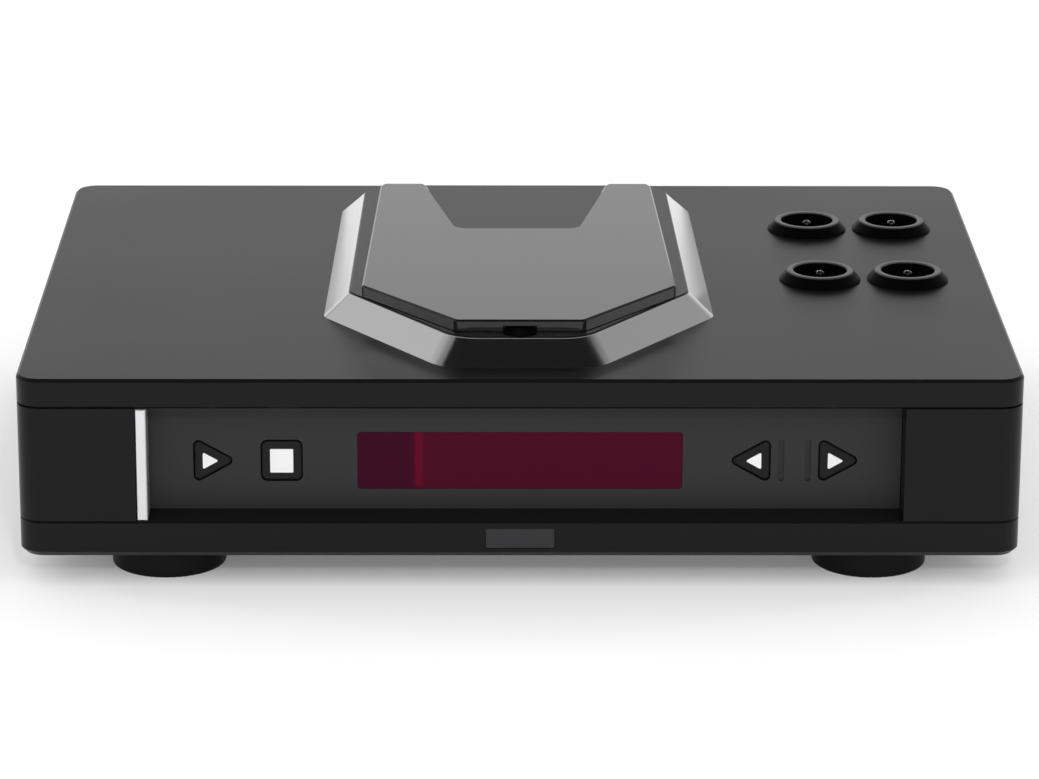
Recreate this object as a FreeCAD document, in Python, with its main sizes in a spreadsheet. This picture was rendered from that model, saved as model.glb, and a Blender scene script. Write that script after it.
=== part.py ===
import FreeCAD, Part
import math
import os
import re
import Sketcher
from FreeCAD import Vector

# A valve disc player: a low casing in three layers, with a recessed fascia, a hinged lid over a disc well on
# a faceted surround, and four valves that stand in flared rings. X runs to the right, Y to the rear and Z up.
# The origin is on the surface that the feet stand on, under the middle of the whole outline.

os.makedirs("parts", exist_ok=True)
doc = FreeCAD.newDocument("valve_disc_player")

# Driving sizes, in millimetres and degrees

SIZES = [
    ("case_width", 433, "casing, over the side walls"),
    ("case_depth", 320, "casing, front face to rear edge"),
    ("corner_round", 10.5, "upright corners of the casing"),
    ("foot_height", 13.5, "foot, floor to casing"),
    ("base_height", 16.3, "base layer"),
    ("side_height", 50.9, "middle layer"),
    ("cover_height", 13.1, "top layer"),
    ("groove_cut", 1.0, "bevels that make the grooves between layers"),
    ("base_edge_cut", 2.2, "bevel round the underside"),
    ("cover_edge_cut", 1.3, "bevel round the top"),
    ("case_wall", 12, "side wall of the middle layer"),
    ("base_floor", 4, "floor of the base"),
    ("cover_skin", 5, "top skin of the cover"),
    ("front_lip", 30, "solid front edge of base and cover"),
    ("side_lip", 14, "solid side edge of base and cover"),
    ("rear_lip", 12, "solid rear edge of base and cover"),
    ("seat_gap", 0.05, "clearance of a piece seated in another"),
    ("part_gap", 0.2, "clearance of a panel in its frame"),
    ("run_gap", 0.05, "radial clearance of a running shaft"),
    ("move_gap", 0.4, "clearance round a moving piece"),
    ("bolt_gap", 0.25, "clearance round a bolt"),
    ("foot_radius", 25, "foot"),
    ("foot_inset_side", 62.5, "foot centre from the side face"),
    ("foot_inset_front", 35, "foot centre from the front face"),
    ("foot_inset_rear", 35, "foot centre from the rear edge"),
    ("foot_round", 1.0, "lower edge of a foot"),
    ("foot_bore_radius", 7, "counterbore under a foot"),
    ("foot_bore_depth", 8, "depth of that counterbore"),
    ("foot_head_radius", 5.5, "head of a foot screw"),
    ("foot_head_height", 4, "height of that head"),
    ("foot_screw_radius", 3, "shank of a foot screw"),
    ("foot_screw_reach", 8.5, "foot screw inside the casing"),
    ("foot_boss_radius", 8, "boss over a foot screw"),
    ("foot_boss_height", 6, "height of that boss"),
    ("tie_radius", 2.5, "bolt that ties the three layers"),
    ("tie_inset", 6, "that bolt from the side face"),
    ("tie_front", 42, "front pair from the front face"),
    ("tie_rear", 26, "rear pair from the rear edge"),
    ("tie_head_radius", 4.2, "head of a tie bolt"),
    ("tie_head_height", 4, "height of that head"),
    ("tie_sink", 5, "counterbore of a tie bolt"),
    ("tie_reach", 7, "tie bolt inside the cover"),
    ("vent_width", 3, "slot in the floor"),
    ("vent_length", 60, "length of a slot"),
    ("vent_pitch", 14, "slot to slot"),
    ("vent_setback", 75, "slots from the front face"),
    ("badge_width", 29.6, "bare plate on the front of the base"),
    ("badge_height", 8.7, "height of that plate"),
    ("badge_thick", 1.6, "thickness of that plate"),
    ("badge_sunk", 0.4, "plate behind the front face"),
    ("badge_level", 8.3, "plate centre over the underside"),
    ("badge_round", 1.0, "corners of the plate"),
    ("opening_half", 165.5, "half of the opening between the corner blocks"),
    ("recess_depth", 17, "fascia behind the front face"),
    ("fascia_thick", 4, "fascia panel"),
    ("ledge_width", 9, "ledge of a block behind the fascia"),
    ("ledge_thick", 6, "thickness of that ledge"),
    ("rear_thick", 3, "rear panel"),
    ("rear_inset", 1, "rear panel inside the rear edge"),
    ("rear_ledge", 8, "ledge in front of the rear panel"),
    ("bar_width", 4.6, "power bar"),
    ("bar_depth", 13.3, "power bar, front to back"),
    ("bar_edge", 0.4, "bevel of the power bar"),
    ("bar_gap", 0.3, "clearance round the power bar"),
    ("bar_travel", 2.5, "push of the power bar"),
    ("stem_radius", 1.5, "stem of the power bar"),
    ("stem_reach", 4, "that stem inside its switch"),
    ("switch_side", 12, "housing of a switch"),
    ("switch_depth", 12, "power switch, front to back"),
    ("controls_level", 38.3, "centre line of keys and window over the underside"),
    ("window_width", 140.6, "display window"),
    ("window_height", 25.6, "height of the window"),
    ("window_round", 1.6, "corners of the window"),
    ("window_sunk", 0.15, "window behind the fascia face"),
    ("window_flange", 2, "flange round the window"),
    ("window_flange_thick", 1.2, "thickness of that flange"),
    ("stop_inset", 62.2, "centre of the stop key from the corner block"),
    ("stop_width", 18.3, "opening of the stop key"),
    ("stop_height", 19.0, "height of that opening"),
    ("stop_round", 3.0, "corners of that opening"),
    ("play_inset", 23.9, "upright side of the play key opening from the corner block"),
    ("next_inset", 36.1, "upright side of the next key opening from the corner block"),
    ("previous_inset", 56.7, "upright side of the previous key opening from the corner block"),
    ("triangle_height", 22.0, "sharp height of a three-sided opening"),
    ("triangle_width", 19.4, "sharp width of a three-sided opening"),
    ("triangle_round", 2.4, "corners of a three-sided opening"),
    ("key_gap", 0.35, "gap round a key"),
    ("key_proud", 0.5, "key in front of the fascia face"),
    ("key_dome", 1.2, "rounded front edge of a key"),
    ("key_travel", 1.2, "push of a key"),
    ("key_flange", 1.2, "flange of a key behind the fascia"),
    ("key_flange_thick", 1.0, "thickness of that flange"),
    ("key_stem_radius", 2, "stem of a key"),
    ("key_stem_reach", 2, "that stem inside its switch"),
    ("symbol_inset", 4.15, "white symbol inside the opening"),
    ("symbol_round", 0.5, "corners of a symbol"),
    ("symbol_deep", 0.8, "symbol inside its key"),
    ("symbol_proud", 0.1, "symbol in front of its key"),
    ("groove_width", 2.5, "slot between the skip keys"),
    ("groove_height", 18.9, "height of that slot"),
    ("groove_deep", 1.2, "depth of that slot"),
    ("groove_pitch", 11.6, "slot to slot"),
    ("control_setback", 11, "control board behind the fascia panel"),
    ("key_switch_depth", 7, "key switch, front to back"),
    ("control_inset", 9.5, "end of the control board from the corner block"),
    ("control_trim", 4, "control board short of floor and cover"),
    ("board_thick", 1.6, "every circuit board"),
    ("standoff_radius", 3.5, "posts that carry boards"),
    ("standoff_outer_inset", 15.5, "outer posts of the control board from the corner block"),
    ("standoff_inner", 80, "inner posts of the control board"),
    ("standoff_rise", 17, "posts above and below the controls line"),
    ("module_half", 74, "half of the display module"),
    ("module_height", 31, "height of the display module"),
    ("module_space", 2.4, "display module behind the fascia panel"),
    ("surround_height", 10.6, "faceted surround over the cover"),
    ("surround_inset", 11.6, "its top edge inside its foot"),
    ("surround_front", 17, "foot of its front facet from the front face"),
    ("surround_front_half", 33.4, "half of the front facet"),
    ("surround_side", 93.3, "its widest corner from the front face"),
    ("surround_side_half", 87.2, "half of its greatest width"),
    ("surround_back", 271.3, "its rear corner from the front face"),
    ("surround_back_half", 83.9, "half of its width there"),
    ("surround_rear", 292, "foot of its rear facet from the front face"),
    ("surround_rear_half", 71, "half of the rear facet"),
    ("crest_front", 28, "rounding of the front crests"),
    ("crest_side", 14, "rounding of the side crests"),
    ("crest_rear", 7, "rounding of the rear crests"),
    ("deck_round", 0.9, "rounding of the top edge"),
    ("lid_gap", 0.3, "lid over the surround"),
    ("lid_thick", 5.1, "lid, and the radius of its hinge barrels"),
    ("lid_front", 35.7, "lid front edge from the front face"),
    ("lid_front_half", 27.8, "half of that edge"),
    ("lid_shoulder", 89, "widest corner of the lid from the front face"),
    ("lid_shoulder_half", 70, "half of the lid's greatest width"),
    ("lid_notch", 184, "bottom of the rear notch from the front face"),
    ("lid_notch_half", 28, "half of the notch's bottom"),
    ("lid_arm_inner", 44.5, "inner corner of an arm"),
    ("lid_arm_outer", 64.9, "outer corner of an arm"),
    ("lid_corner", 3.5, "front corners of the lid"),
    ("lid_notch_round", 6, "corners of the notch"),
    ("lid_arm_round", 10, "corners at the ends of the arms"),
    ("lid_edge", 0.8, "bevel round the lid"),
    ("lid_open", 75, "opening angle of the lid"),
    ("hinge_setback", 262.5, "hinge axis from the front face"),
    ("pin_radius", 1.5, "hinge pin"),
    ("pin_start", 44.3, "inner end of a hinge pin"),
    ("pin_end", 61.5, "outer end of a hinge pin"),
    ("lug_middle", 54, "middle of a hinge lug"),
    ("lug_width", 8, "hinge lug along its axis"),
    ("lug_radius", 3.2, "round top of a hinge lug"),
    ("trough_inner", 2.6, "hinge trough inside an arm"),
    ("trough_outer", 0.9, "hinge trough outside an arm"),
    ("catch_half", 7.5, "half of the finger notch"),
    ("catch_deep", 3.2, "finger scoop in the surround"),
    ("catch_setback", 35.5, "middle of the finger scoop from the front face"),
    ("catch_height", 2.5, "finger notch in the lid's edge"),
    ("catch_length", 5, "finger notch, front to back"),
    ("bumper_radius", 3, "rubber bumper"),
    ("bumper_sunk", 1.2, "bumper inside the surround"),
    ("bumper_proud", 0.2, "bumper over the surround"),
    ("bumper_front_x", 20, "front bumpers from the middle"),
    ("bumper_front", 43, "front bumpers from the front face"),
    ("bumper_rear_x", 48, "rear bumpers from the middle"),
    ("bumper_rear", 171, "rear bumpers from the front face"),
    ("disc_setback", 112, "disc axis from the front face"),
    ("well_radius", 62.5, "disc well"),
    ("well_wall", 1.5, "wall and floor of the well"),
    ("well_flange", 4, "flange of the well"),
    ("well_floor", 1.5, "well floor below the cover's face"),
    ("well_short", 0.2, "rim of the well below the surround"),
    ("thumb_half", 12, "half of a thumb scoop beside the disc"),
    ("thumb_reach", 67.5, "thumb scoop from the disc axis"),
    ("thumb_floor", 3, "thumb scoop over the cover's face"),
    ("hub_radius", 14, "seat of the hub"),
    ("hub_seat", 3, "disc seat over the cover's face"),
    ("hub_hole", 15.3, "hole in the well for the hub"),
    ("nose_radius", 7.35, "nose that centres the disc"),
    ("nose_height", 1.6, "straight part of the nose"),
    ("nose_tip", 0.8, "sloping part of the nose"),
    ("nose_slope", 1.1, "how far the tip narrows"),
    ("shaft_radius", 1.5, "hub shaft"),
    ("shaft_length", 12.5, "hub shaft under the seat"),
    ("disc_thick", 1.2, "a disc"),
    ("clamp_radius", 14, "disc clamp"),
    ("clamp_space", 0.3, "clamp over a disc"),
    ("clamp_hollow", 1.5, "hollow over the nose"),
    ("clamp_neck", 8.2, "neck of the clamp"),
    ("clamp_flange", 12, "flange of the clamp inside the lid"),
    ("clamp_flange_thick", 0.9, "thickness of that flange"),
    ("clamp_bore", 16.5, "recess in the lid for the clamp"),
    ("clamp_bore_deep", 2.6, "depth of that recess"),
    ("retainer_thick", 1, "retainer ring"),
    ("plate_drop", 14, "transport plate under the cover's face"),
    ("plate_thick", 3, "transport plate"),
    ("plate_left", 62, "transport plate left of the disc axis"),
    ("plate_right", 84, "transport plate right of the disc axis"),
    ("plate_half", 58, "transport plate in front and behind"),
    ("damper_radius", 6, "rubber damper"),
    ("damper_height", 5, "height of a damper"),
    ("damper_left", 54, "left dampers from the disc axis"),
    ("damper_right", 76, "right dampers from the disc axis"),
    ("damper_half", 50, "dampers in front and behind"),
    ("damper_boss", 7, "boss of the cover over a damper"),
    ("motor_radius", 12, "spindle motor"),
    ("motor_height", 10, "height of the spindle motor"),
    ("rod_radius", 1.5, "guide rod"),
    ("rod_drop", 8, "guide rods under the cover's face"),
    ("rod_half", 16, "guide rods in front and behind"),
    ("rod_start", -2, "left end of the rods from the disc axis"),
    ("rod_end", 80, "right end of the rods"),
    ("rod_clamp_length", 6, "clamp along a rod"),
    ("rod_clamp_width", 7, "clamp across a rod"),
    ("rod_clamp_over", 2.2, "clamp over the middle of a rod"),
    ("sled_start", 14, "left end of the sled from the disc axis"),
    ("sled_length", 24, "sled"),
    ("sled_half", 20, "half of the sled across the rods"),
    ("sled_under", 11.5, "underside of the sled below the cover's face"),
    ("sled_over", 5.6, "top of the sled below the cover's face"),
    ("sled_travel", 35, "travel of the sled"),
    ("lens_start", 23.5, "lens from the disc axis, innermost"),
    ("turret_radius", 3.6, "turret that holds the lens"),
    ("turret_top", 1.2, "turret over the cover's face"),
    ("lens_radius", 2.6, "lens"),
    ("lens_height", 0.5, "lens over its turret"),
    ("slot_half", 4.7, "half of the slot for the turret"),
    ("slot_start", 18.6, "slot from the disc axis"),
    ("rack_module", 0.8, "tooth size of rack and small gear"),
    ("rack_teeth", 17, "teeth of the rack"),
    ("rack_line", 22.4, "pitch line of the rack behind the disc axis"),
    ("rack_under", 10.2, "underside of the rack below the cover's face"),
    ("rack_over", 7, "top of the rack below the cover's face"),
    ("small_teeth", 12, "teeth of the small gear"),
    ("large_module", 0.5, "tooth size of large gear and pinion"),
    ("large_teeth", 36, "teeth of the large gear"),
    ("pinion_teeth", 12, "teeth of the motor pinion"),
    ("tooth_over", 0.7, "tooth above its pitch line, in modules"),
    ("tooth_under", 0.95, "tooth below its pitch line, in modules"),
    ("tooth_play", 0.1, "play between meshed teeth"),
    ("gear_x", 48, "drive gear right of the disc axis"),
    ("gear_lift", 0.3, "gears over the transport plate"),
    ("gear_thick", 1.5, "large gear and pinion"),
    ("small_gear_top", 6.8, "top of the small gear below the cover's face"),
    ("axle_radius", 1.5, "axle post of the drive gear"),
    ("sled_motor_radius", 9, "sled motor"),
    ("sled_motor_height", 14, "height of the sled motor"),
    ("pinion_shaft", 1, "shaft of the motor pinion"),
    ("pinion_reach", 7, "that shaft inside its motor"),
    ("tube_x", 159.5, "middle of the four valves, from the middle"),
    ("tube_setback", 197, "middle of the four valves from the front face"),
    ("tube_pitch_x", 40.4, "valve to valve across"),
    ("tube_pitch_y", 86, "valve to valve front to back"),
    ("ring_radius", 18.7, "foot of a flared ring"),
    ("ring_top_radius", 14.9, "top edge of a ring"),
    ("ring_height", 4.7, "ring over the cover"),
    ("ring_bore", 12.3, "bore of a ring"),
    ("ring_undercut", 0.6, "shadow line under a ring"),
    ("ring_undercut_height", 0.4, "height of that line"),
    ("ring_round", 0.7, "rounding of a ring's top edges"),
    ("spigot_wall", 1.4, "spigot of a ring"),
    ("spigot_length", 6, "spigot inside the cover"),
    ("tube_radius", 11, "glass of a valve"),
    ("tube_wall", 0.9, "thickness of the glass"),
    ("tube_length", 47, "valve from its seat to its tip"),
    ("tube_dome", 9, "height of the dome"),
    ("tube_tip_radius", 2.2, "tip of the glass"),
    ("tube_tip_height", 3, "height of the tip"),
    ("tube_sunk", 0.5, "tip below the top of the ring"),
    ("tube_shoulder", 8, "rounded shoulder of the glass"),
    ("button_thick", 1.5, "foot of a valve"),
    ("button_plug", 2.5, "foot inside the glass"),
    ("tube_pins", 9, "pins of a valve"),
    ("pin_circle", 5.95, "radius of the circle of pins"),
    ("valve_pin_radius", 0.5, "pin of a valve"),
    ("valve_pin_length", 7, "length of a pin"),
    ("mica_radius", 9.4, "mica spacer"),
    ("mica_thick", 0.8, "thickness of a spacer"),
    ("anode_low", 7, "lower spacer over the seat"),
    ("anode_height", 25, "anode between its spacers"),
    ("anode_width", 9, "anode across"),
    ("anode_depth", 14, "anode front to back"),
    ("socket_radius", 11.5, "valve socket"),
    ("socket_height", 12, "height of a socket"),
    ("socket_hole_gap", 0.15, "play of a pin in its socket"),
    ("tube_board_half_x", 44, "half of the valve board across"),
    ("tube_board_half_y", 66, "half of the valve board front to back"),
    ("main_left", -72, "left edge of the main board"),
    ("main_right", 98, "right edge of the main board"),
    ("main_front", 130, "front edge of the main board from the rear edge"),
    ("main_rear", 24, "rear edge of the main board from the rear edge"),
    ("main_lift", 10, "main board over the floor"),
    ("standoff_inset", 7, "post from the edges of its board"),
    ("capacitor_radius", 9, "filter capacitor"),
    ("capacitor_height", 32, "height of a capacitor"),
    ("capacitor_pitch", 22, "capacitor to capacitor"),
    ("capacitor_x", -52, "first column of capacitors"),
    ("capacitor_setback", 106, "first row of capacitors from the rear edge"),
    ("chip_height", 3, "chips on the main board"),
    ("chip_x", 20, "first column of chips"),
    ("chip_setback", 105, "first row of chips from the rear edge"),
    ("chip_width", 18, "chip across"),
    ("chip_length", 12, "chip front to back"),
    ("chip_pitch_x", 34, "chip to chip across"),
    ("chip_pitch_y", 26, "chip to chip front to back"),
    ("coil_x", -140, "mains transformer"),
    ("coil_setback", 105, "its middle from the rear edge"),
    ("coil_outer", 54, "its outer radius"),
    ("coil_inner", 18, "its inner radius"),
    ("coil_height", 46, "its height"),
    ("coil_round", 8, "rounding of its edges"),
    ("coil_plate", 30, "clamp plate on the transformer"),
    ("coil_plate_thick", 2.5, "thickness of that plate"),
    ("coil_bolt", 4, "bolt of the transformer"),
    ("coil_bolt_head", 6.5, "head of that bolt"),
    ("coil_head_height", 5, "height of that head"),
    ("socket_level", 40, "rear sockets over the underside"),
    ("inlet_x", -150, "mains inlet"),
    ("inlet_half_width", 12, "half of its cavity across"),
    ("inlet_half_height", 8.2, "half of its cavity in height"),
    ("inlet_wall", 1.7, "wall of the inlet"),
    ("inlet_flange_half", 25, "half of its flange"),
    ("inlet_flange_rise", 2.2, "flange over the body"),
    ("inlet_proud", 2, "flange behind the rear edge"),
    ("inlet_depth", 24, "body inside the rear panel"),
    ("inlet_cavity", 17, "depth of its cavity"),
    ("blade_length", 11, "blade of the inlet"),
    ("blade_half_width", 1, "half thickness of a blade"),
    ("blade_half_height", 2, "half height of a blade"),
    ("blade_pitch", 7, "blade to blade"),
    ("blade_offset", 2, "middle blade over the outer ones, each way"),
    ("tab_length", 7, "terminal at the back of the inlet"),
    ("phono_x", 40, "first phono socket"),
    ("phono_pitch", 20, "phono to phono"),
    ("phono_radius", 4.15, "sleeve of a phono socket"),
    ("phono_bore", 3.35, "inside of the sleeve"),
    ("phono_reach", 8, "sleeve behind the rear edge"),
    ("phono_nut", 6.5, "flange and nut of a phono socket"),
    ("phono_nut_thick", 2, "thickness of flange and nut"),
    ("phono_inside", 8, "sleeve inside the rear panel"),
    ("phono_core_sunk", 3, "core below the rim of the sleeve"),
    ("phono_contact", 1.6, "hole for the centre pin"),
    ("phono_contact_deep", 12, "depth of that hole"),
    ("balanced_x", 130, "first balanced socket"),
    ("balanced_pitch", 40, "balanced to balanced"),
    ("balanced_cavity", 9.2, "radius of its cavity"),
    ("balanced_wall", 1.8, "wall round the cavity"),
    ("balanced_flange_x", 13, "half of its flange across"),
    ("balanced_flange_z", 15.5, "half of its flange in height"),
    ("balanced_proud", 1, "flange behind the rear edge"),
    ("balanced_depth", 22, "body inside the rear panel"),
    ("balanced_cavity_deep", 14, "depth of its cavity"),
    ("balanced_pin", 1.2, "pin of a balanced socket"),
    ("balanced_pin_circle", 4.2, "circle of those pins"),
    ("balanced_pin_length", 8.5, "length of those pins"),
]

# Places that follow from the sizes

PLACES = [
    ("half_width", "case_width / 2"),
    ("front_y", "-(case_depth + phono_reach) / 2"),
    ("rear_y", "front_y + case_depth"),
    ("base_bottom", "foot_height"),
    ("floor_top", "base_bottom + base_floor"),
    ("base_top", "base_bottom + base_height"),
    ("cover_bottom", "base_top + side_height"),
    ("cover_top", "cover_bottom + cover_height"),
    ("skin_under", "cover_top - cover_skin"),
    ("deck_top", "cover_top + surround_height"),
    ("lid_under", "deck_top + lid_gap"),
    ("lid_top", "lid_under + lid_thick"),
    ("wall_x", "half_width - case_wall"),
    ("lip_x", "half_width - side_lip"),
    ("inside_front", "front_y + front_lip"),
    ("inside_rear", "rear_y - rear_lip"),
    ("fascia_front", "front_y + recess_depth"),
    ("fascia_back", "fascia_front + fascia_thick"),
    ("ledge_front", "fascia_back + part_gap"),
    ("ledge_back", "ledge_front + ledge_thick"),
    ("panel_rear", "rear_y - rear_inset"),
    ("panel_front", "panel_rear - rear_thick"),
    ("controls_z", "base_bottom + controls_level"),
    ("control_y", "fascia_back + control_setback"),
    ("switch_front", "control_y - key_switch_depth"),
    ("stem_end", "switch_front + key_stem_reach"),
    ("bar_x", "-opening_half + bar_gap + bar_width / 2"),
    ("bar_z", "(base_top + cover_bottom) / 2"),
    ("play_side", "play_inset - opening_half"),
    ("stop_x", "stop_inset - opening_half"),
    ("previous_side", "opening_half - previous_inset"),
    ("next_side", "opening_half - next_inset"),
    ("standoff_outer", "opening_half - standoff_outer_inset"),
    ("groove_mid", "(previous_side + next_side) / 2"),
    ("control_half", "opening_half - control_inset"),
    ("key_slope", "triangle_height / 2 / triangle_width"),
    ("key_point", "sqrt(1 + key_slope ^ 2) / key_slope"),
    ("foot_x", "half_width - foot_inset_side"),
    ("foot_front_y", "front_y + foot_inset_front"),
    ("foot_rear_y", "rear_y - foot_inset_rear"),
    ("tie_x", "half_width - tie_inset"),
    ("tie_front_y", "front_y + tie_front"),
    ("tie_rear_y", "rear_y - tie_rear"),
    ("disc_y", "front_y + disc_setback"),
    ("hinge_y", "front_y + hinge_setback"),
    ("lid_rear", "hinge_y + lid_thick"),
    ("well_outer", "well_radius + well_wall"),
    ("well_flange_radius", "well_outer + well_flange"),
    ("well_top_face", "cover_top - well_floor"),
    ("seat_z", "cover_top + hub_seat"),
    ("clamp_low", "seat_z + disc_thick + clamp_space"),
    ("plate_top", "cover_top - plate_drop"),
    ("plate_under", "plate_top - plate_thick"),
    ("damper_top", "plate_top + damper_height"),
    ("rod_z", "cover_top - rod_drop"),
    ("rack_y", "disc_y + rack_line"),
    ("gear_y", "rack_y + rack_module * small_teeth / 2 + tooth_play"),
    ("pinion_y", "gear_y + large_module * (large_teeth + pinion_teeth) / 2 + tooth_play"),
    ("gear_low", "plate_top + gear_lift"),
    ("gear_mid", "gear_low + gear_thick"),
    ("gear_high", "cover_top - small_gear_top"),
    ("tube_y", "front_y + tube_setback"),
    ("spigot_radius", "ring_bore + spigot_wall"),
    ("tube_top", "cover_top + ring_height - tube_sunk"),
    ("tube_seat", "tube_top - tube_length"),
    ("tube_board_top", "tube_seat - socket_height"),
    ("main_under", "floor_top + main_lift"),
    ("main_top", "main_under + board_thick"),
    ("coil_y", "rear_y - coil_setback"),
    ("coil_top", "floor_top + coil_height"),
    ("socket_z", "base_bottom + socket_level"),
    ("anode_base", "tube_seat + anode_low"),
    ("anode_top", "anode_base + mica_thick + anode_height"),
]

sizes = doc.addObject("Spreadsheet::Sheet", "Sizes")
places = doc.addObject("Spreadsheet::Sheet", "Places")
answer = doc.addObject("Spreadsheet::Sheet", "Answer")
SIZE_WORDS = {word for word, value, note in SIZES}
PLACE_WORDS = {word for word, formula in PLACES}


def in_places(formula):
    """A formula as the second sheet reads it: only the driving sizes need the name of their sheet."""
    return re.sub(r"[a-z_]+", lambda m: ("Sizes." if m.group() in SIZE_WORDS else "") + m.group(), formula)


def full(formula):
    """A formula as any other object reads it: each word has the name of its sheet before it."""
    def reach(match):
        return ("Places." if match.group() in PLACE_WORDS else "") + match.group()
    return re.sub(r"[a-z_]+", reach, in_places(formula))


def number(formula):
    """What a formula comes to with the present sizes."""
    answer.set("A1", "=" + full(formula))
    answer.recompute()
    return float(answer.get("A1"))


for row, (word, value, note) in enumerate(SIZES, 1):
    sizes.set(f"A{row}", note)
    sizes.set(f"B{row}", str(value))
    sizes.setAlias(f"B{row}", word)
for row, (word, formula) in enumerate(PLACES, 1):
    places.set(f"B{row}", "=" + in_places(formula))
    places.setAlias(f"B{row}", word)
doc.recompute()

# Outlines: each returns a function that draws it into a sketch and ties it to the sheets


def hold(sketch, line, point, spot, formulas):
    """Ties one point of a sketch to its two formulas."""
    for kind, value, formula in zip(("DistanceX", "DistanceY"), spot, formulas):
        index = sketch.addConstraint(Sketcher.Constraint(kind, -1, 1, line, point, value))
        sketch.setExpression(f"Constraints[{index}]", full(formula))


def poly(*corners):
    """Straight sides between corners, each corner a pair of formulas."""
    def draw(sketch):
        spots = [Vector(number(a), number(b), 0) for a, b in corners]
        first = sketch.GeometryCount
        count = len(corners)
        for i in range(count):
            sketch.addGeometry(Part.LineSegment(spots[i], spots[(i + 1) % count]), False)
        for i in range(count):
            sketch.addConstraint(Sketcher.Constraint("Coincident", first + i, 2, first + (i + 1) % count, 1))
            hold(sketch, first + i, 1, spots[i][:2], corners[i])
    return draw


def rect(left, right, low, high):
    """A rectangle between two values each way."""
    return poly((left, low), (right, low), (right, high), (left, high))


def block(across, half_across, along, half_along):
    """A rectangle from its middle and its half sizes."""
    return rect(
        f"{across} - {half_across}",
        f"{across} + {half_across}",
        f"{along} - {half_along}",
        f"{along} + {half_along}",
    )


def disc(across, along, radius):
    """A circle."""
    def draw(sketch):
        spot = Vector(number(across), number(along), 0)
        size = number(radius)
        line = sketch.addGeometry(Part.Circle(spot, Vector(0, 0, 1), size), False)
        hold(sketch, line, 3, spot[:2], (across, along))
        index = sketch.addConstraint(Sketcher.Constraint("Radius", line, size))
        sketch.setExpression(f"Constraints[{index}]", full(radius))
    return draw


# Features of a piece

BACKWARD = {"XY": False, "XZ": True, "YZ": False}
VOLUMES = {}


def new_body(label):
    """An empty piece."""
    body = doc.addObject("PartDesign::Body", label)
    body.Label = label
    doc.recompute()
    return body


def new_sketch(body, plane, level, rise=None):
    """A sketch on a plane across Z, Y or X at a level along that axis."""
    sketch = body.newObject("Sketcher::SketchObject", body.Label + "_outline")
    support = [part for part in body.Origin.OriginFeatures if part.Role == plane + "_Plane"]
    sketch.AttachmentSupport = (support[0], [""])
    sketch.MapMode = "FlatFace"
    sign = "-1 * " if plane == "XZ" else ""
    sketch.setExpression(".AttachmentOffset.Base.z", f"{sign}({full(level)})")
    if rise:
        sketch.setExpression(".AttachmentOffset.Base.y", full(rise))
    return sketch


def settle(body, feature, before, cut):
    """Recomputes, and stops where a feature failed or changed nothing."""
    doc.recompute([body])
    after = body.Shape.Volume
    VOLUMES[body.Label] = after
    grew = after > before + 1e-6
    shrank = after < before - 1e-6
    if "Invalid" in feature.State or not (shrank if cut else grew):
        change = f"{before:.2f} to {after:.2f}"
        raise RuntimeError(f"{body.Label}: {feature.Label} did not change the piece ({change})")


def push(body, plane, low, high, *outlines, cut=False, slope=None):
    """Pushes outlines from one level to a higher one, to add or to cut. A slope narrows them on the way."""
    before = VOLUMES.get(body.Label, 0.0)
    sketch = new_sketch(body, plane, low)
    for draw in outlines:
        draw(sketch)
    feature = body.newObject("PartDesign::Pocket" if cut else "PartDesign::Pad", body.Label + "_push")
    feature.Profile = sketch
    feature.setExpression("Length", full(f"({high}) - ({low})"))
    feature.Reversed = BACKWARD[plane] != cut
    if slope:
        feature.setExpression("TaperAngle", full(slope))
    settle(body, feature, before, cut)
    return feature


def turn(body, *corners, cut=False):
    """Turns an outline of radii and heights about the upright axis of the piece."""
    before = VOLUMES.get(body.Label, 0.0)
    sketch = new_sketch(body, "XZ", "0")
    poly(*corners)(sketch)
    feature = body.newObject("PartDesign::Groove" if cut else "PartDesign::Revolution", body.Label + "_turn")
    feature.Profile = sketch
    feature.ReferenceAxis = (sketch, ["V_Axis"])
    feature.Angle = 360
    settle(body, feature, before, cut)
    return feature


def ease(body, amount, wanted, bevel=False):
    """Rounds or bevels the edges for which wanted is true."""
    base = body.Tip
    before = VOLUMES[body.Label]
    names = [f"Edge{i}" for i, edge in enumerate(base.Shape.Edges, 1) if wanted(edge)]
    if not names:
        raise RuntimeError(f"{body.Label}: no edge to ease by {amount}")
    feature = body.newObject("PartDesign::Chamfer" if bevel else "PartDesign::Fillet", body.Label + "_ease")
    feature.Base = (base, names)
    feature.setExpression("Size" if bevel else "Radius", full(amount))
    doc.recompute([body])
    after = body.Shape.Volume
    VOLUMES[body.Label] = after
    if "Invalid" in feature.State or abs(after - before) < 1e-6:
        raise RuntimeError(f"{body.Label}: {amount} eased nothing on {len(names)} edges")
    return feature


def set_at(body, across, along):
    """Stands a turned piece on its own axis."""
    body.setExpression(".Placement.Base.x", full(across))
    body.setExpression(".Placement.Base.y", full(along))
    doc.recompute()


# Ways to pick edges

NEAR = 1e-4


def ends(edge):
    """The two end points of an edge."""
    return edge.Vertexes[0].Point, edge.Vertexes[-1].Point


def upright(edge):
    """True for a straight vertical edge."""
    a, b = ends(edge)
    return len(edge.Vertexes) == 2 and math.hypot(a.x - b.x, a.y - b.y) < NEAR and abs(a.z - b.z) > NEAR


def level_at(formula):
    """Picks edges that lie flat at a height."""
    height = number(formula)
    return lambda edge: abs(edge.BoundBox.ZMin - height) < NEAR and abs(edge.BoundBox.ZMax - height) < NEAR


def facing_at(formula):
    """Picks edges that lie flat at a distance along Y."""
    place = number(formula)
    return lambda edge: abs(edge.BoundBox.YMin - place) < NEAR and abs(edge.BoundBox.YMax - place) < NEAR


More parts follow.
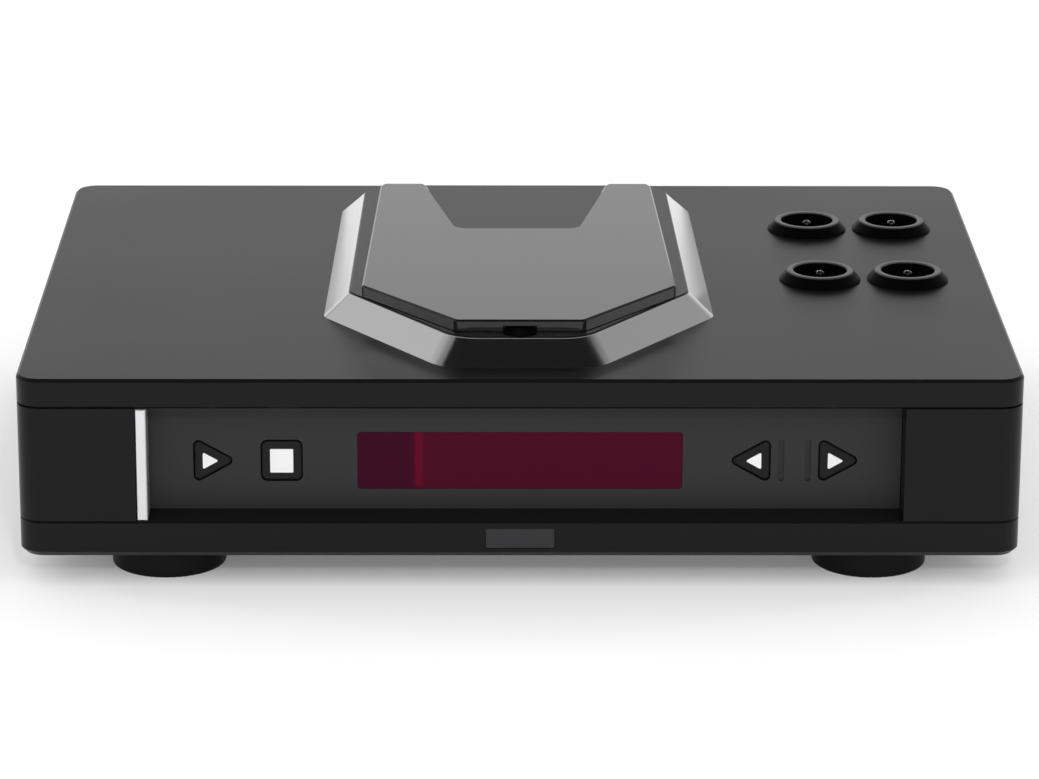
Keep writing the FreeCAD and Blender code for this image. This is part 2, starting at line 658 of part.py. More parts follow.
def along_y(edge):
    """True for a straight edge that runs front to back."""
    a, b = ends(edge)
    return len(edge.Vertexes) == 2 and math.hypot(a.x - b.x, a.z - b.z) < NEAR and abs(a.y - b.y) > NEAR


def beside(formula_x, formula_y):
    """Picks upright edges at one or either side, at a place in plan."""
    across = number(formula_x)
    along = number(formula_y)

    def test(edge):
        middle = edge.CenterOfMass
        return upright(edge) and abs(abs(middle.x) - across) < NEAR and abs(middle.y - along) < NEAR
    return test


def both(first, second):
    """Picks the edges that two tests agree on."""
    return lambda edge: first(edge) and second(edge)


# Casing


def tie_spots(radius):
    """Circles for the six bolts through the layers."""
    middle = "(tie_front_y + tie_rear_y) / 2"
    return [
        disc(side + "tie_x", y, radius)
        for side in ("", "-")
        for y in ("tie_front_y", middle, "tie_rear_y")
    ]


def foot_spots(radius):
    """Circles for the four feet."""
    return [disc(side + "foot_x", y, radius) for side in ("", "-") for y in ("foot_front_y", "foot_rear_y")]


def main_spots(radius):
    """Circles for the four posts under the main board."""
    return [
        disc(x, y, radius)
        for x in ("main_left + standoff_inset", "main_right - standoff_inset")
        for y in ("rear_y - main_front + standoff_inset", "rear_y - main_rear - standoff_inset")
    ]


def tube_board_spots(radius):
    """Circles for the four posts under the valve board."""
    inset_x = "(tube_board_half_x - standoff_inset)"
    inset_y = "(tube_board_half_y - standoff_inset)"
    return [disc(f"tube_x {a} {inset_x}", f"tube_y {b} {inset_y}", radius) for a in "-+" for b in "-+"]


def make_base_tray():
    body = new_body("base_tray")
    push(body, "XY", "base_bottom", "base_top", rect("-half_width", "half_width", "front_y", "rear_y"))
    ease(body, "corner_round", upright)
    ease(body, "base_edge_cut", level_at("base_bottom"), bevel=True)
    ease(body, "groove_cut", level_at("base_top"), bevel=True)
    inside = rect("-lip_x", "lip_x", "inside_front", "inside_rear")
    push(body, "XY", "floor_top", "base_top", inside, cut=True)
    push(body, "XY", "floor_top", "floor_top + foot_boss_height", *foot_spots("foot_boss_radius"))
    push(body, "XY", "floor_top", "main_under", *main_spots("standoff_radius"))
    push(body, "XY", "floor_top", "tube_board_top - board_thick", *tube_board_spots("standoff_radius"))
    screws = foot_spots("foot_screw_radius + seat_gap")
    push(body, "XY", "base_bottom", "base_bottom + foot_screw_reach + part_gap", *screws, cut=True)
    push(body, "XY", "base_bottom", "base_top", *tie_spots("tie_radius + bolt_gap"), cut=True)
    heads = tie_spots("tie_head_radius + bolt_gap")
    push(body, "XY", "base_bottom", "base_bottom + tie_sink", *heads, cut=True)
    vents = [
        rect(
            f"vent_pitch * {i} - vent_width / 2",
            f"vent_pitch * {i} + vent_width / 2",
            "front_y + vent_setback",
            "front_y + vent_setback + vent_length",
        )
        for i in range(-4, 5)
    ]
    push(body, "XY", "base_bottom", "floor_top", *vents, cut=True)
    badge = badge_outline("part_gap")
    push(body, "XZ", "front_y", "front_y + badge_sunk + badge_thick", badge, cut=True)
    ease(body, "badge_round", both(along_y, in_badge))


def badge_outline(gap):
    """The plate's place on the front of the base, with a gap round it."""
    half_x = f"(badge_width / 2 + {gap})"
    half_z = f"(badge_height / 2 + {gap})"
    middle = "base_bottom + badge_level"
    return rect("-1 * " + half_x, half_x, f"{middle} - {half_z}", f"{middle} + {half_z}")


def in_badge(edge):
    """True for edges near the plate on the front of the base."""
    middle = edge.CenterOfMass
    near_front = middle.y < number("front_y + badge_sunk + badge_thick")
    return near_front and abs(middle.x) < number("badge_width / 2 + 1")


def make_badge_plate():
    body = new_body("badge_plate")
    push(body, "XZ", "front_y + badge_sunk", "front_y + badge_sunk + badge_thick", badge_outline("0"))
    ease(body, "badge_round - part_gap", along_y)


def make_side_block(label, side):
    """One side wall with its thick front corner and its ledges, on the left where side is -1."""
    body = new_body(label)
    sign = f"{side} * "
    corners = [
        ("half_width", "front_y"),
        ("opening_half", "front_y"),
        ("opening_half", "ledge_front"),
        ("(opening_half - ledge_width)", "ledge_front"),
        ("(opening_half - ledge_width)", "ledge_back"),
        ("wall_x", "ledge_back"),
        ("wall_x", "panel_front - part_gap - rear_ledge"),
        ("(wall_x - rear_ledge)", "panel_front - part_gap - rear_ledge"),
        ("(wall_x - rear_ledge)", "panel_front - part_gap"),
        ("wall_x", "panel_front - part_gap"),
        ("wall_x", "rear_y"),
        ("half_width", "rear_y"),
    ]
    push(body, "XY", "base_top", "cover_bottom", poly(*[(sign + x, y) for x, y in corners]))
    for end in ("front_y", "rear_y"):
        ease(body, "corner_round", beside("half_width", end))
    ties = [
        disc(f"{side} * tie_x", y, "tie_radius + bolt_gap")
        for y in ("tie_front_y", "(tie_front_y + tie_rear_y) / 2", "tie_rear_y")
    ]
    push(body, "XY", "base_top", "cover_bottom", *ties, cut=True)
    if side < 0:
        bore = disc("bar_x", "bar_z", "stem_radius + bar_gap")
        push(body, "XZ", "ledge_front", "ledge_back", bore, cut=True)


def make_rear_panel():
    body = new_body("rear_panel")
    sheet = rect("-wall_x + part_gap", "wall_x - part_gap", "base_top", "cover_bottom")
    push(body, "XZ", "panel_front", "panel_rear", sheet)
    holes = [inlet_outline("inlet_wall + part_gap")]
    holes += [disc(x, "socket_z", "phono_radius + part_gap") for x in phono_spots()]
    holes += [disc(x, "socket_z", "balanced_cavity + balanced_wall + part_gap") for x in balanced_spots()]
    push(body, "XZ", "panel_front", "panel_rear", *holes, cut=True)


def make_top_cover():
    body = new_body("top_cover")
    push(body, "XY", "cover_bottom", "cover_top", rect("-half_width", "half_width", "front_y", "rear_y"))
    ease(body, "corner_round", upright)
    ease(body, "groove_cut", level_at("cover_bottom"), bevel=True)
    ease(body, "cover_edge_cut", level_at("cover_top"), bevel=True)
    inside = rect("-lip_x", "lip_x", "inside_front", "inside_rear")
    push(body, "XY", "cover_bottom", "skin_under", inside, cut=True)
    push(body, "XY", "damper_top", "skin_under", *damper_spots("damper_boss"))
    holes = [disc("0", "disc_y", "well_outer + bar_gap"), *tube_spots("spigot_radius + part_gap")]
    push(body, "XY", "skin_under", "cover_top", *holes, cut=True)
    threads = tie_spots("tie_radius + seat_gap")
    push(body, "XY", "cover_bottom", "cover_bottom + tie_reach + part_gap", *threads, cut=True)


def make_feet():
    body = new_body("feet")
    push(body, "XY", "0", "foot_height", *foot_spots("foot_radius"))
    ease(body, "foot_round", level_at("0"))
    push(body, "XY", "0", "foot_bore_depth", *foot_spots("foot_bore_radius"), cut=True)
    push(body, "XY", "foot_bore_depth", "foot_height", *foot_spots("foot_screw_radius + part_gap"), cut=True)


def make_foot_screws():
    body = new_body("foot_screws")
    push(body, "XY", "foot_bore_depth - foot_head_height", "foot_bore_depth", *foot_spots("foot_head_radius"))
    push(body, "XY", "foot_bore_depth", "base_bottom + foot_screw_reach", *foot_spots("foot_screw_radius"))


def make_tie_bolts():
    body = new_body("tie_bolts")
    head = "base_bottom + tie_sink"
    push(body, "XY", f"{head} - tie_head_height", head, *tie_spots("tie_head_radius"))
    push(body, "XY", head, "cover_bottom + tie_reach", *tie_spots("tie_radius"))


# Fascia, window and keys


def triangle(side, inset, way):
    """A three-sided outline, drawn in from an opening by its upright side. It points to +X where way is 1."""
    width = f"(triangle_width - ({inset}) - ({inset}) * key_point)"
    near = f"({side} + {way} * ({inset}))"
    half = f"(key_slope * {width})"
    return poly(
        (near, f"controls_z - {half}"),
        (near, f"controls_z + {half}"),
        (f"{near} + {way} * {width}", "controls_z"),
    )


def square(inset):
    """The outline of the stop key, drawn in from its opening."""
    half_x = f"(stop_width / 2 - ({inset}))"
    half_z = f"(stop_height / 2 - ({inset}))"
    return block("stop_x", half_x, "controls_z", half_z)


def pointed(side, way):
    """A three-sided key: its outline, the axis of its stem and the rounding of its corners."""
    sign = "+" if way > 0 else "-"
    return lambda inset: triangle(side, inset, way), f"{side} {sign} triangle_width / 3", "triangle_round"


KEYS = {
    "play": pointed("play_side", 1),
    "stop": (square, "stop_x", "stop_round"),
    "previous": pointed("previous_side", -1),
    "next": pointed("next_side", 1),
}


def window_outline(gap):
    """The display window, with a gap or a flange round it."""
    half_x = f"(window_width / 2 + {gap})"
    half_z = f"(window_height / 2 + {gap})"
    return rect("-1 * " + half_x, half_x, f"controls_z - {half_z}", f"controls_z + {half_z}")


def groove_outlines():
    """The two slots between the skip keys."""
    return [
        rect(
            f"groove_mid {side} groove_pitch / 2 - groove_width / 2",
            f"groove_mid {side} groove_pitch / 2 + groove_width / 2",
            "controls_z - groove_height / 2",
            "controls_z + groove_height / 2",
        )
        for side in "-+"
    ]


def make_fascia_panel():
    body = new_body("fascia_panel")
    edge = "opening_half - part_gap"
    push(body, "XZ", "fascia_front", "fascia_back", rect(f"-1 * ({edge})", edge, "base_top", "cover_bottom"))
    for outline, stem, rounding in KEYS.values():
        known = [e.CenterOfMass for e in body.Shape.Edges]
        push(body, "XZ", "fascia_front", "fascia_back", outline("0"), cut=True)
        ease(body, rounding, both(along_y, fresh(known)))
    known = [e.CenterOfMass for e in body.Shape.Edges]
    push(body, "XZ", "fascia_front", "fascia_back", window_outline("part_gap"), cut=True)
    ease(body, "window_round", both(along_y, fresh(known)))
    known = [e.CenterOfMass for e in body.Shape.Edges]
    push(body, "XZ", "fascia_front", "fascia_front + groove_deep", *groove_outlines(), cut=True)
    ease(body, "groove_width / 2 - seat_gap", both(along_y, fresh(known)))
    push(body, "XZ", "fascia_front", "fascia_back", disc("bar_x", "bar_z", "stem_radius + bar_gap"), cut=True)
    posts = [
        disc(f"{side} * {x}", f"controls_z {rise} standoff_rise", "standoff_radius")
        for side in (-1, 1)
        for x in ("standoff_outer", "standoff_inner")
        for rise in "-+"
    ]
    push(body, "XZ", "fascia_back", "control_y", *posts)


def fresh(known):
    """Picks the edges that were not there before."""
    return lambda edge: all(edge.CenterOfMass.distanceToPoint(spot) > 1e-3 for spot in known)


def make_display_window():
    body = new_body("display_window")
    push(body, "XZ", "fascia_front + window_sunk", "fascia_back", window_outline("0"))
    ease(body, "window_round - part_gap", along_y)
    push(body, "XZ", "fascia_back", "fascia_back + window_flange_thick", window_outline("window_flange"))


def make_key(name):
    """One key cap: a domed front, a flange behind the fascia and a stem into its switch."""
    outline, stem, rounding = KEYS[name]
    body = new_body(name + "_key")
    front = "fascia_front - key_proud"
    flange = "fascia_back + part_gap"
    push(body, "XZ", front, flange, outline("key_gap"))
    ease(body, f"{rounding} - key_gap", along_y)
    ease(body, "key_dome", facing_at(front))
    push(body, "XZ", flange, f"{flange} + key_flange_thick", outline("-1 * key_flange"))
    push(body, "XZ", f"{flange} + key_flange_thick", "stem_end", disc(stem, "controls_z", "key_stem_radius"))
    known = [e.CenterOfMass for e in body.Shape.Edges]
    push(body, "XZ", front, f"{front} + symbol_deep", outline("symbol_inset - seat_gap"), cut=True)
    ease(body, "symbol_round", both(along_y, fresh(known)))


def make_symbol(name):
    """The white inlay of a key."""
    body = new_body(name + "_symbol")
    front = "fascia_front - key_proud"
    push(body, "XZ", f"{front} - symbol_proud", f"{front} + symbol_deep", KEYS[name][0]("symbol_inset"))
    ease(body, "symbol_round", along_y)


def make_key_switches():
    body = new_body("key_switches")
    stems = [stem for outline, stem, rounding in KEYS.values()]
    half = "switch_side / 2"
    housings = [block(x, half, "controls_z", half) for x in stems]
    push(body, "XZ", "switch_front", "control_y", *housings)
    bores = [disc(x, "controls_z", "key_stem_radius + run_gap") for x in stems]
    push(body, "XZ", "switch_front", "stem_end + key_travel + move_gap", *bores, cut=True)


def make_control_board():
    body = new_body("control_board")
    outline = rect("-control_half", "control_half", "base_top + control_trim", "cover_bottom - control_trim")
    push(body, "XZ", "control_y", "control_y + board_thick", outline)


def make_display_module():
    body = new_body("display_module")
    half = "module_height / 2"
    outline = rect("-module_half", "module_half", f"controls_z - {half}", f"controls_z + {half}")
    push(body, "XZ", "fascia_back + module_space", "control_y", outline)


def make_power_bar():
    body = new_body("power_bar")
    half = "bar_width / 2"
    outline = rect(f"bar_x - {half}", f"bar_x + {half}", "base_top + bar_gap", "cover_bottom - bar_gap")
    push(body, "XZ", "front_y", "front_y + bar_depth", outline)
    ease(body, "bar_edge", facing_at("front_y"), bevel=True)
    push(body, "XZ", "front_y + bar_depth", "ledge_back + stem_reach", disc("bar_x", "bar_z", "stem_radius"))


def make_power_switch():
    body = new_body("power_switch")
    half = "switch_side / 2"
    outline = rect(f"bar_x - {half}", f"bar_x + {half}", f"bar_z - {half}", f"bar_z + {half}")
    push(body, "XZ", "ledge_back", "ledge_back + switch_depth", outline)
    bore = disc("bar_x", "bar_z", "stem_radius + run_gap")
    push(body, "XZ", "ledge_back", "ledge_back + stem_reach + bar_travel + move_gap", bore, cut=True)


# Surround, lid and hinge


def make_disc_surround():
    body = new_body("disc_surround")
    foot = [
        ("surround_front_half", "surround_front"),
        ("surround_side_half", "surround_side"),
        ("surround_back_half", "surround_back"),
        ("surround_rear_half", "surround_rear"),
    ]
    right = [(x, "front_y + " + y) for x, y in foot]
    left = [("-" + x, y) for x, y in reversed(right)]
    slope = "-atan(surround_inset / surround_height)"
    push(body, "XY", "cover_top", "deck_top", poly(*right, *left), slope=slope)
    for rounding, (x, y) in zip(("crest_front", "crest_side", "crest_rear", "crest_rear"), right):
        ease(body, rounding, crest(x, y))
    ease(body, "deck_round", level_at("deck_top"))
    push(body, "XY", "cover_top", "deck_top", disc("0", "disc_y", "well_outer + part_gap"), cut=True)
    flange = disc("0", "disc_y", "well_flange_radius + part_gap")
    push(body, "XY", "cover_top", "cover_top + well_wall + part_gap", flange, cut=True)
    push(body, "XY", "cover_top + thumb_floor", "deck_top", thumb_outline(), cut=True)
    scoop = disc("0", "front_y + catch_setback", "catch_half")
    push(body, "XY", "deck_top - catch_deep", "deck_top", scoop, cut=True)
    seats = bumper_spots("bumper_radius + seat_gap")
    push(body, "XY", "deck_top - bumper_sunk", "deck_top", *seats, cut=True)
    for side in (-1, 1):
        span = hinge_span(side, "lid_arm_inner - trough_inner", "lid_arm_outer + trough_outer")
        push(body, "YZ", *span, disc("hinge_y", "lid_under", "lid_thick + move_gap"), cut=True)
        span = lug_span(side, "0")
        post = rect("hinge_y - lug_radius", "hinge_y + lug_radius", "cover_top + thumb_floor", "lid_under")
        push(body, "YZ", *span, post)
        push(body, "YZ", *span, disc("hinge_y", "lid_under", "lug_radius"))
        push(body, "YZ", *span, disc("hinge_y", "lid_under", "pin_radius + run_gap"), cut=True)


def crest(across, along):
    """Picks the sloping edges that start from one corner of the surround's foot, on both sides."""
    corner = Vector(number(across), number(along), number("cover_top"))

    def test(edge):
        if len(edge.Vertexes) != 2 or edge.BoundBox.ZLength < 1:
            return False
        return any(Vector(abs(p.x), p.y, p.z).distanceToPoint(corner) < 0.01 for p in ends(edge))
    return test


def hinge_span(side, inner, outer):
    """The two ends of a stretch of one hinge, the lower value first."""
    return (inner, outer) if side > 0 else (f"-1 * ({outer})", f"-1 * ({inner})")


def lug_span(side, gap):
    """The stretch that a hinge lug fills, with a gap at both ends."""
    return hinge_span(side, f"lug_middle - lug_width / 2 - {gap}", f"lug_middle + lug_width / 2 + {gap}")


def thumb_outline():
    """The scoops beside the disc, in one stretch across the well."""
    return rect("-thumb_reach", "thumb_reach", "disc_y - thumb_half", "disc_y + thumb_half")


def bumper_spots(radius):
    """Circles for the four bumpers."""
    return [
        disc(side + x, "front_y + " + y, radius)
        for x, y in (("bumper_front_x", "bumper_front"), ("bumper_rear_x", "bumper_rear"))
        for side in ("", "-")
    ]


def make_lid_bumpers():
    body = new_body("lid_bumpers")
    push(body, "XY", "deck_top - bumper_sunk", "deck_top + bumper_proud", *bumper_spots("bumper_radius"))


def make_lid():
    body = new_body("lid")
    corners = [
        ("lid_front_half", "front_y + lid_front"),
        ("lid_shoulder_half", "front_y + lid_shoulder"),
        ("lid_arm_outer", "lid_rear"),
        ("lid_arm_inner", "lid_rear"),
        ("lid_notch_half", "front_y + lid_notch"),
    ]
    left = [("-" + x, y) for x, y in reversed(corners)]
    push(body, "XY", "lid_under - lid_thick", "lid_top", poly(*corners, *left))
    roundings = ("lid_corner", "lid_corner", "lid_arm_round", "lid_arm_round", "lid_notch_round")
    for rounding, (x, y) in zip(roundings, corners):
        ease(body, rounding, beside(x, y))
    ease(body, "lid_edge", level_at("lid_top"), bevel=True)
    beyond = "lid_shoulder_half + 1"
    below = rect(f"-1 * ({beyond})", beyond, "front_y + lid_front - 1", "hinge_y - lid_thick")
    push(body, "XY", "lid_under - lid_thick", "lid_under", below, cut=True)
    round_barrels(body)
    for side in (-1, 1):
        span = lug_span(side, "move_gap")
        push(body, "YZ", *span, disc("hinge_y", "lid_under", "lug_radius + move_gap"), cut=True)
        for share in (0, 0.5, 1):
            push(body, "YZ", *span, lug_path(share), cut=True)
        pin = hinge_span(side, "lid_arm_inner - trough_inner", "pin_end")
        push(body, "YZ", *pin, disc("hinge_y", "lid_under", "pin_radius + seat_gap"), cut=True)
    notch = rect("-catch_half", "catch_half", "front_y + lid_front - 1", "front_y + lid_front + catch_length")
    push(body, "XY", "lid_under", "lid_under + catch_height", notch, cut=True)
    push(body, "XY", "lid_under", "lid_under + clamp_bore_deep", disc("0", "disc_y", "clamp_bore"), cut=True)


def round_barrels(body):
    """Turns away what lies outside the hinge barrels, from straight up over the rear to straight forward."""
    before = VOLUMES[body.Label]
    sketch = new_sketch(body, "XZ", "hinge_y", rise="lid_under")
    rect("-lid_shoulder_half", "lid_shoulder_half", "lid_thick", "lid_thick * 2.5")(sketch)
    feature = body.newObject("PartDesign::Groove", "lid_barrels")
    feature.Profile = sketch
    feature.ReferenceAxis = (sketch, ["H_Axis"])
    feature.Angle = 270
    feature.Reversed = True
    settle(body, feature, before, True)


def lug_path(share):
    """The strip of the lid's arm that the lug passes through at a share of the lid's angle."""
    angle = f"(lid_open * {share})"
    half = "(lug_radius + move_gap)"
    reach = "(lid_thick + 2)"
    out_y = f"{reach} * sin({angle} * 1deg)"
    out_z = f"{reach} * cos({angle} * 1deg)"
    side_y = f"{half} * cos({angle} * 1deg)"
    side_z = f"{half} * sin({angle} * 1deg)"
    return poly(
        (f"hinge_y - {side_y}", f"lid_under - {side_z}"),
        (f"hinge_y - {side_y} + {out_y}", f"lid_under - {side_z} - {out_z}"),
        (f"hinge_y + {side_y} + {out_y}", f"lid_under + {side_z} - {out_z}"),
        (f"hinge_y + {side_y}", f"lid_under + {side_z}"),
    )


def make_hinge_pins():
    body = new_body("hinge_pins")
    for side in (-1, 1):
        span = hinge_span(side, "pin_start", "pin_end")
        push(body, "YZ", *span, disc("hinge_y", "lid_under", "pin_radius"))


def make_disc_clamp():
    body = new_body("disc_clamp")
    neck_low = "lid_under - move_gap"
    flange = "lid_under + retainer_thick + move_gap"
    push(body, "XY", "clamp_low", neck_low, disc("0", "disc_y", "clamp_radius"))
    push(body, "XY", neck_low, flange, disc("0", "disc_y", "clamp_neck"))
    push(body, "XY", flange, f"{flange} + clamp_flange_thick", disc("0", "disc_y", "clamp_flange"))
    hollow = disc("0", "disc_y", "nose_radius + 2 * move_gap")
    push(body, "XY", "clamp_low", "clamp_low + clamp_hollow", hollow, cut=True)


def make_clamp_retainer():
    body = new_body("clamp_retainer")
    ring = "lid_under + retainer_thick"
    push(body, "XY", "lid_under", ring, disc("0", "disc_y", "clamp_bore - seat_gap"))
    push(body, "XY", "lid_under", ring, disc("0", "disc_y", "clamp_neck + move_gap"), cut=True)


# Disc well and transport


def make_disc_well():
    body = new_body("disc_well")
    low = "well_top_face - well_wall"
    push(body, "XY", low, "deck_top - well_short", disc("0", "disc_y", "well_outer"))
    push(body, "XY", "cover_top", "cover_top + well_wall", disc("0", "disc_y", "well_flange_radius"))
    push(body, "XY", "well_top_face", "deck_top - well_short", disc("0", "disc_y", "well_radius"), cut=True)
    push(body, "XY", "cover_top + thumb_floor", "deck_top - well_short", thumb_outline(), cut=True)
    push(body, "XY", low, "well_top_face", disc("0", "disc_y", "hub_hole"), cut=True)
    slot = rect("slot_start", "well_radius - seat_gap", "disc_y - slot_half", "disc_y + slot_half")
    push(body, "XY", low, "well_top_face", slot, cut=True)


def make_spindle_hub():
    body = new_body("spindle_hub")
    push(body, "XY", "cover_top", "seat_z", disc("0", "disc_y", "hub_radius"))
    push(body, "XY", "seat_z", "seat_z + nose_height", disc("0", "disc_y", "nose_radius"))
    tip = "seat_z + nose_height"
    slope = "-atan(nose_slope / nose_tip)"
    push(body, "XY", tip, f"{tip} + nose_tip", disc("0", "disc_y", "nose_radius"), slope=slope)
    push(body, "XY", "cover_top - shaft_length", "cover_top", disc("0", "disc_y", "shaft_radius"))


def make_spindle_motor():
    body = new_body("spindle_motor")
    top = "plate_top + motor_height"
    push(body, "XY", "plate_top", top, disc("0", "disc_y", "motor_radius"))
    bore_low = "cover_top - shaft_length - move_gap"
    push(body, "XY", bore_low, top, disc("0", "disc_y", "shaft_radius + run_gap"), cut=True)


def damper_spots(radius):
    """Circles for the four dampers between cover and transport plate."""
    return [
        disc(x, f"disc_y {side} damper_half", radius)
        for x in ("-damper_left", "damper_right")
        for side in "-+"
    ]


def make_transport_plate():
    body = new_body("transport_plate")
    outline = rect("-plate_left", "plate_right", "disc_y - plate_half", "disc_y + plate_half")
    push(body, "XY", "plate_under", "plate_top", outline)
    ease(body, "damper_radius", upright)
    window = rect("lens_start", "gear_x + sled_half", "disc_y - sled_half / 2", "disc_y + sled_half / 2")
    shaft_hole = disc("gear_x", "pinion_y", "pinion_shaft * 2")
    push(body, "XY", "plate_under", "plate_top", window, shaft_hole, cut=True)
    push(body, "XY", "plate_top", "gear_high", disc("gear_x", "gear_y", "axle_radius"))


def make_transport_dampers():
    body = new_body("transport_dampers")
    push(body, "XY", "plate_top", "damper_top", *damper_spots("damper_radius"))


def rod_spots(radius):
    """Circles for the two guide rods, seen along X."""
    return [disc(f"disc_y {side} rod_half", "rod_z", radius) for side in "-+"]


def make_laser_sled():
    body = new_body("laser_sled")
    end = "sled_start + sled_length"
    outline = rect("sled_start", end, "disc_y - sled_half", "disc_y + sled_half")
    push(body, "XY", "cover_top - sled_under", "cover_top - sled_over", outline)
    turret = disc("lens_start", "disc_y", "turret_radius")
    push(body, "XY", "cover_top - sled_over", "cover_top + turret_top", turret)
    push(body, "YZ", "sled_start", end, *rod_spots("rod_radius + run_gap"), cut=True)
    pitch = "(rack_module * pi)"
    left = f"gear_x - sled_travel - {pitch} * 1.5"
    root = "rack_y - tooth_under * rack_module"
    bar = rect(left, f"{left} + {pitch} * rack_teeth", "disc_y + sled_half", root)
    push(body, "XY", "cover_top - rack_under", "cover_top - rack_over", bar)
    first = f"(gear_x - {pitch} * floor((gear_x - ({left} + {pitch} / 2)) / {pitch}))"
    tip = "rack_y + tooth_over * rack_module"
    half = f"({pitch} / 4 - tooth_play / 4)"
    lean = "0.36397 * rack_module"
    wide = f"({half} + {lean} * tooth_under)"
    narrow = f"({half} - {lean} * tooth_over)"
    tooth = poly(
        (f"{first} - {wide}", root),
        (f"{first} + {wide}", root),
        (f"{first} + {narrow}", tip),
        (f"{first} - {narrow}", tip),
    )
    feature = push(body, "XY", "cover_top - rack_under", "cover_top - rack_over", tooth)
    row = body.newObject("PartDesign::LinearPattern", "rack_row")
    row.Originals = [feature]
    row.Direction = (feature.Profile[0], ["H_Axis"])
    row.setExpression("Length", full(f"{pitch} * (rack_teeth - 2)"))
    row.setExpression("Occurrences", full("rack_teeth - 1"))
    body.Tip = row
    doc.recompute()


def make_laser_lens():
    body = new_body("laser_lens")
    low = "cover_top + turret_top"
    push(body, "XY", low, f"{low} + lens_height", disc("lens_start", "disc_y", "lens_radius"))
    ease(body, "lens_height / 2", level_at(f"{low} + lens_height"))


def make_guide_rods():
    body = new_body("guide_rods")
    push(body, "YZ", "rod_start", "rod_end", *rod_spots("rod_radius"))


def make_rod_clamps():
    body = new_body("rod_clamps")
    half = "rod_clamp_width / 2"
    length = "rod_clamp_length / 2"
    blocks = [
        block(x, length, f"disc_y {side} rod_half", half)
        for x in (f"rod_start - 2 + {length}", f"rod_end + 2 - {length}")
        for side in "-+"
    ]
    push(body, "XY", "plate_top", "rod_z + rod_clamp_over", *blocks)
    push(body, "YZ", "rod_start", "rod_end", *rod_spots("rod_radius + seat_gap"), cut=True)


def make_sled_motor():
    body = new_body("sled_motor")
    low = "plate_under - sled_motor_height"
    push(body, "XY", low, "plate_under", disc("gear_x", "pinion_y", "sled_motor_radius"))
    bore = disc("gear_x", "pinion_y", "pinion_shaft + run_gap")
    push(body, "XY", "plate_under - pinion_reach - move_gap", "plate_under", bore, cut=True)


def gear_shape(teeth, module, low, high, phase):
    """A spur gear about the Z axis, with involute flanks. Its first tooth points at the phase angle."""
    over = number("tooth_over")
    under = number("tooth_under")
    play = number("tooth_play")
    pitch_radius = module * teeth / 2
    base_radius = pitch_radius * math.cos(math.radians(20))
    tip_radius = pitch_radius + over * module
    root_radius = pitch_radius - under * module
    lean_at_pitch = math.tan(math.radians(20)) - math.radians(20)
    half_tooth = math.pi / 2 / teeth - play / 4 / pitch_radius

    def flank(radius):
        """Half of the tooth's angle at a radius."""
        angle = math.acos(min(1.0, base_radius / radius))
        return half_tooth + lean_at_pitch - (math.tan(angle) - angle)

    def spot(radius, angle):
        return Vector(radius * math.cos(angle), radius * math.sin(angle), low)

    start = max(base_radius, root_radius)
    middle = (start + tip_radius) / 2
    step = 2 * math.pi / teeth
    edges = []
    for i in range(teeth):
        axis = phase + i * step
        foot = spot(root_radius, axis - flank(start))
        rise = spot(start, axis - flank(start))
        if foot.distanceToPoint(rise) > NEAR:
            edges.append(Part.LineSegment(foot, rise).toShape())
        near_tip = spot(tip_radius, axis - flank(tip_radius))
        far_tip = spot(tip_radius, axis + flank(tip_radius))
        fall = spot(start, axis + flank(start))
        edges.append(Part.Arc(rise, spot(middle, axis - flank(middle)), near_tip).toShape())
        edges.append(Part.Arc(near_tip, spot(tip_radius, axis), far_tip).toShape())
        edges.append(Part.Arc(far_tip, spot(middle, axis + flank(middle)), fall).toShape())
        end = spot(root_radius, axis + flank(start))
        if end.distanceToPoint(fall) > NEAR:
            edges.append(Part.LineSegment(fall, end).toShape())
        following = spot(root_radius, axis + step - flank(start))
        edges.append(Part.Arc(end, spot(root_radius, axis + step / 2), following).toShape())
    return Part.Face(Part.Wire(edges)).extrude(Vector(0, 0, high - low))


def set_feature(label, shape, across, along):
    """A piece whose shape comes from a formula, stood at its place in plan."""
    feature = doc.addObject("Part::Feature", label)
    feature.Label = label
    feature.Shape = shape
    feature.setExpression(".Placement.Base.x", full(across))
    feature.setExpression(".Placement.Base.y", full(along))
    doc.recompute()


def cylinder(radius, low, high):
    """A plain upright cylinder about the Z axis."""
    return Part.makeCylinder(radius, high - low, Vector(0, 0, low))


def make_drive_gear():
    """A large gear and a small one in one piece, on the axle post of the transport plate."""
    low = number("gear_low")
    mid = number("gear_mid")
    high = number("gear_high")
    large_teeth = int(number("large_teeth"))
    small_teeth = int(number("small_teeth"))
    large = gear_shape(large_teeth, number("large_module"), low, mid, math.pi / 2)
    small = gear_shape(small_teeth, number("rack_module"), mid, high, -math.pi / 2 + math.pi / small_teeth)
    bore = cylinder(number("axle_radius + run_gap"), low - 1, high + 1)
    set_feature("drive_gear", large.fuse(small).cut(bore).removeSplitter(), "gear_x", "gear_y")


def make_motor_pinion():
    """The pinion of the sled motor with its shaft."""
    teeth = int(number("pinion_teeth"))
    mid = number("gear_mid")
    phase = -math.pi / 2 + math.pi / teeth
    pinion = gear_shape(teeth, number("large_module"), number("gear_low"), mid, phase)
    shaft = cylinder(number("pinion_shaft"), number("plate_under - pinion_reach"), mid)
    set_feature("motor_pinion", pinion.fuse(shaft).removeSplitter(), "gear_x", "pinion_y")


# Valves


def tube_places():
    """The four valve axes, front pair first."""
    return [
        (f"tube_x {a} tube_pitch_x / 2", f"tube_y {b} tube_pitch_y / 2")
        for b in "-+"
        for a in "-+"
    ]


def tube_spots(radius):
    """Circles about the four valve axes."""
    return [disc(x, y, radius) for x, y in tube_places()]


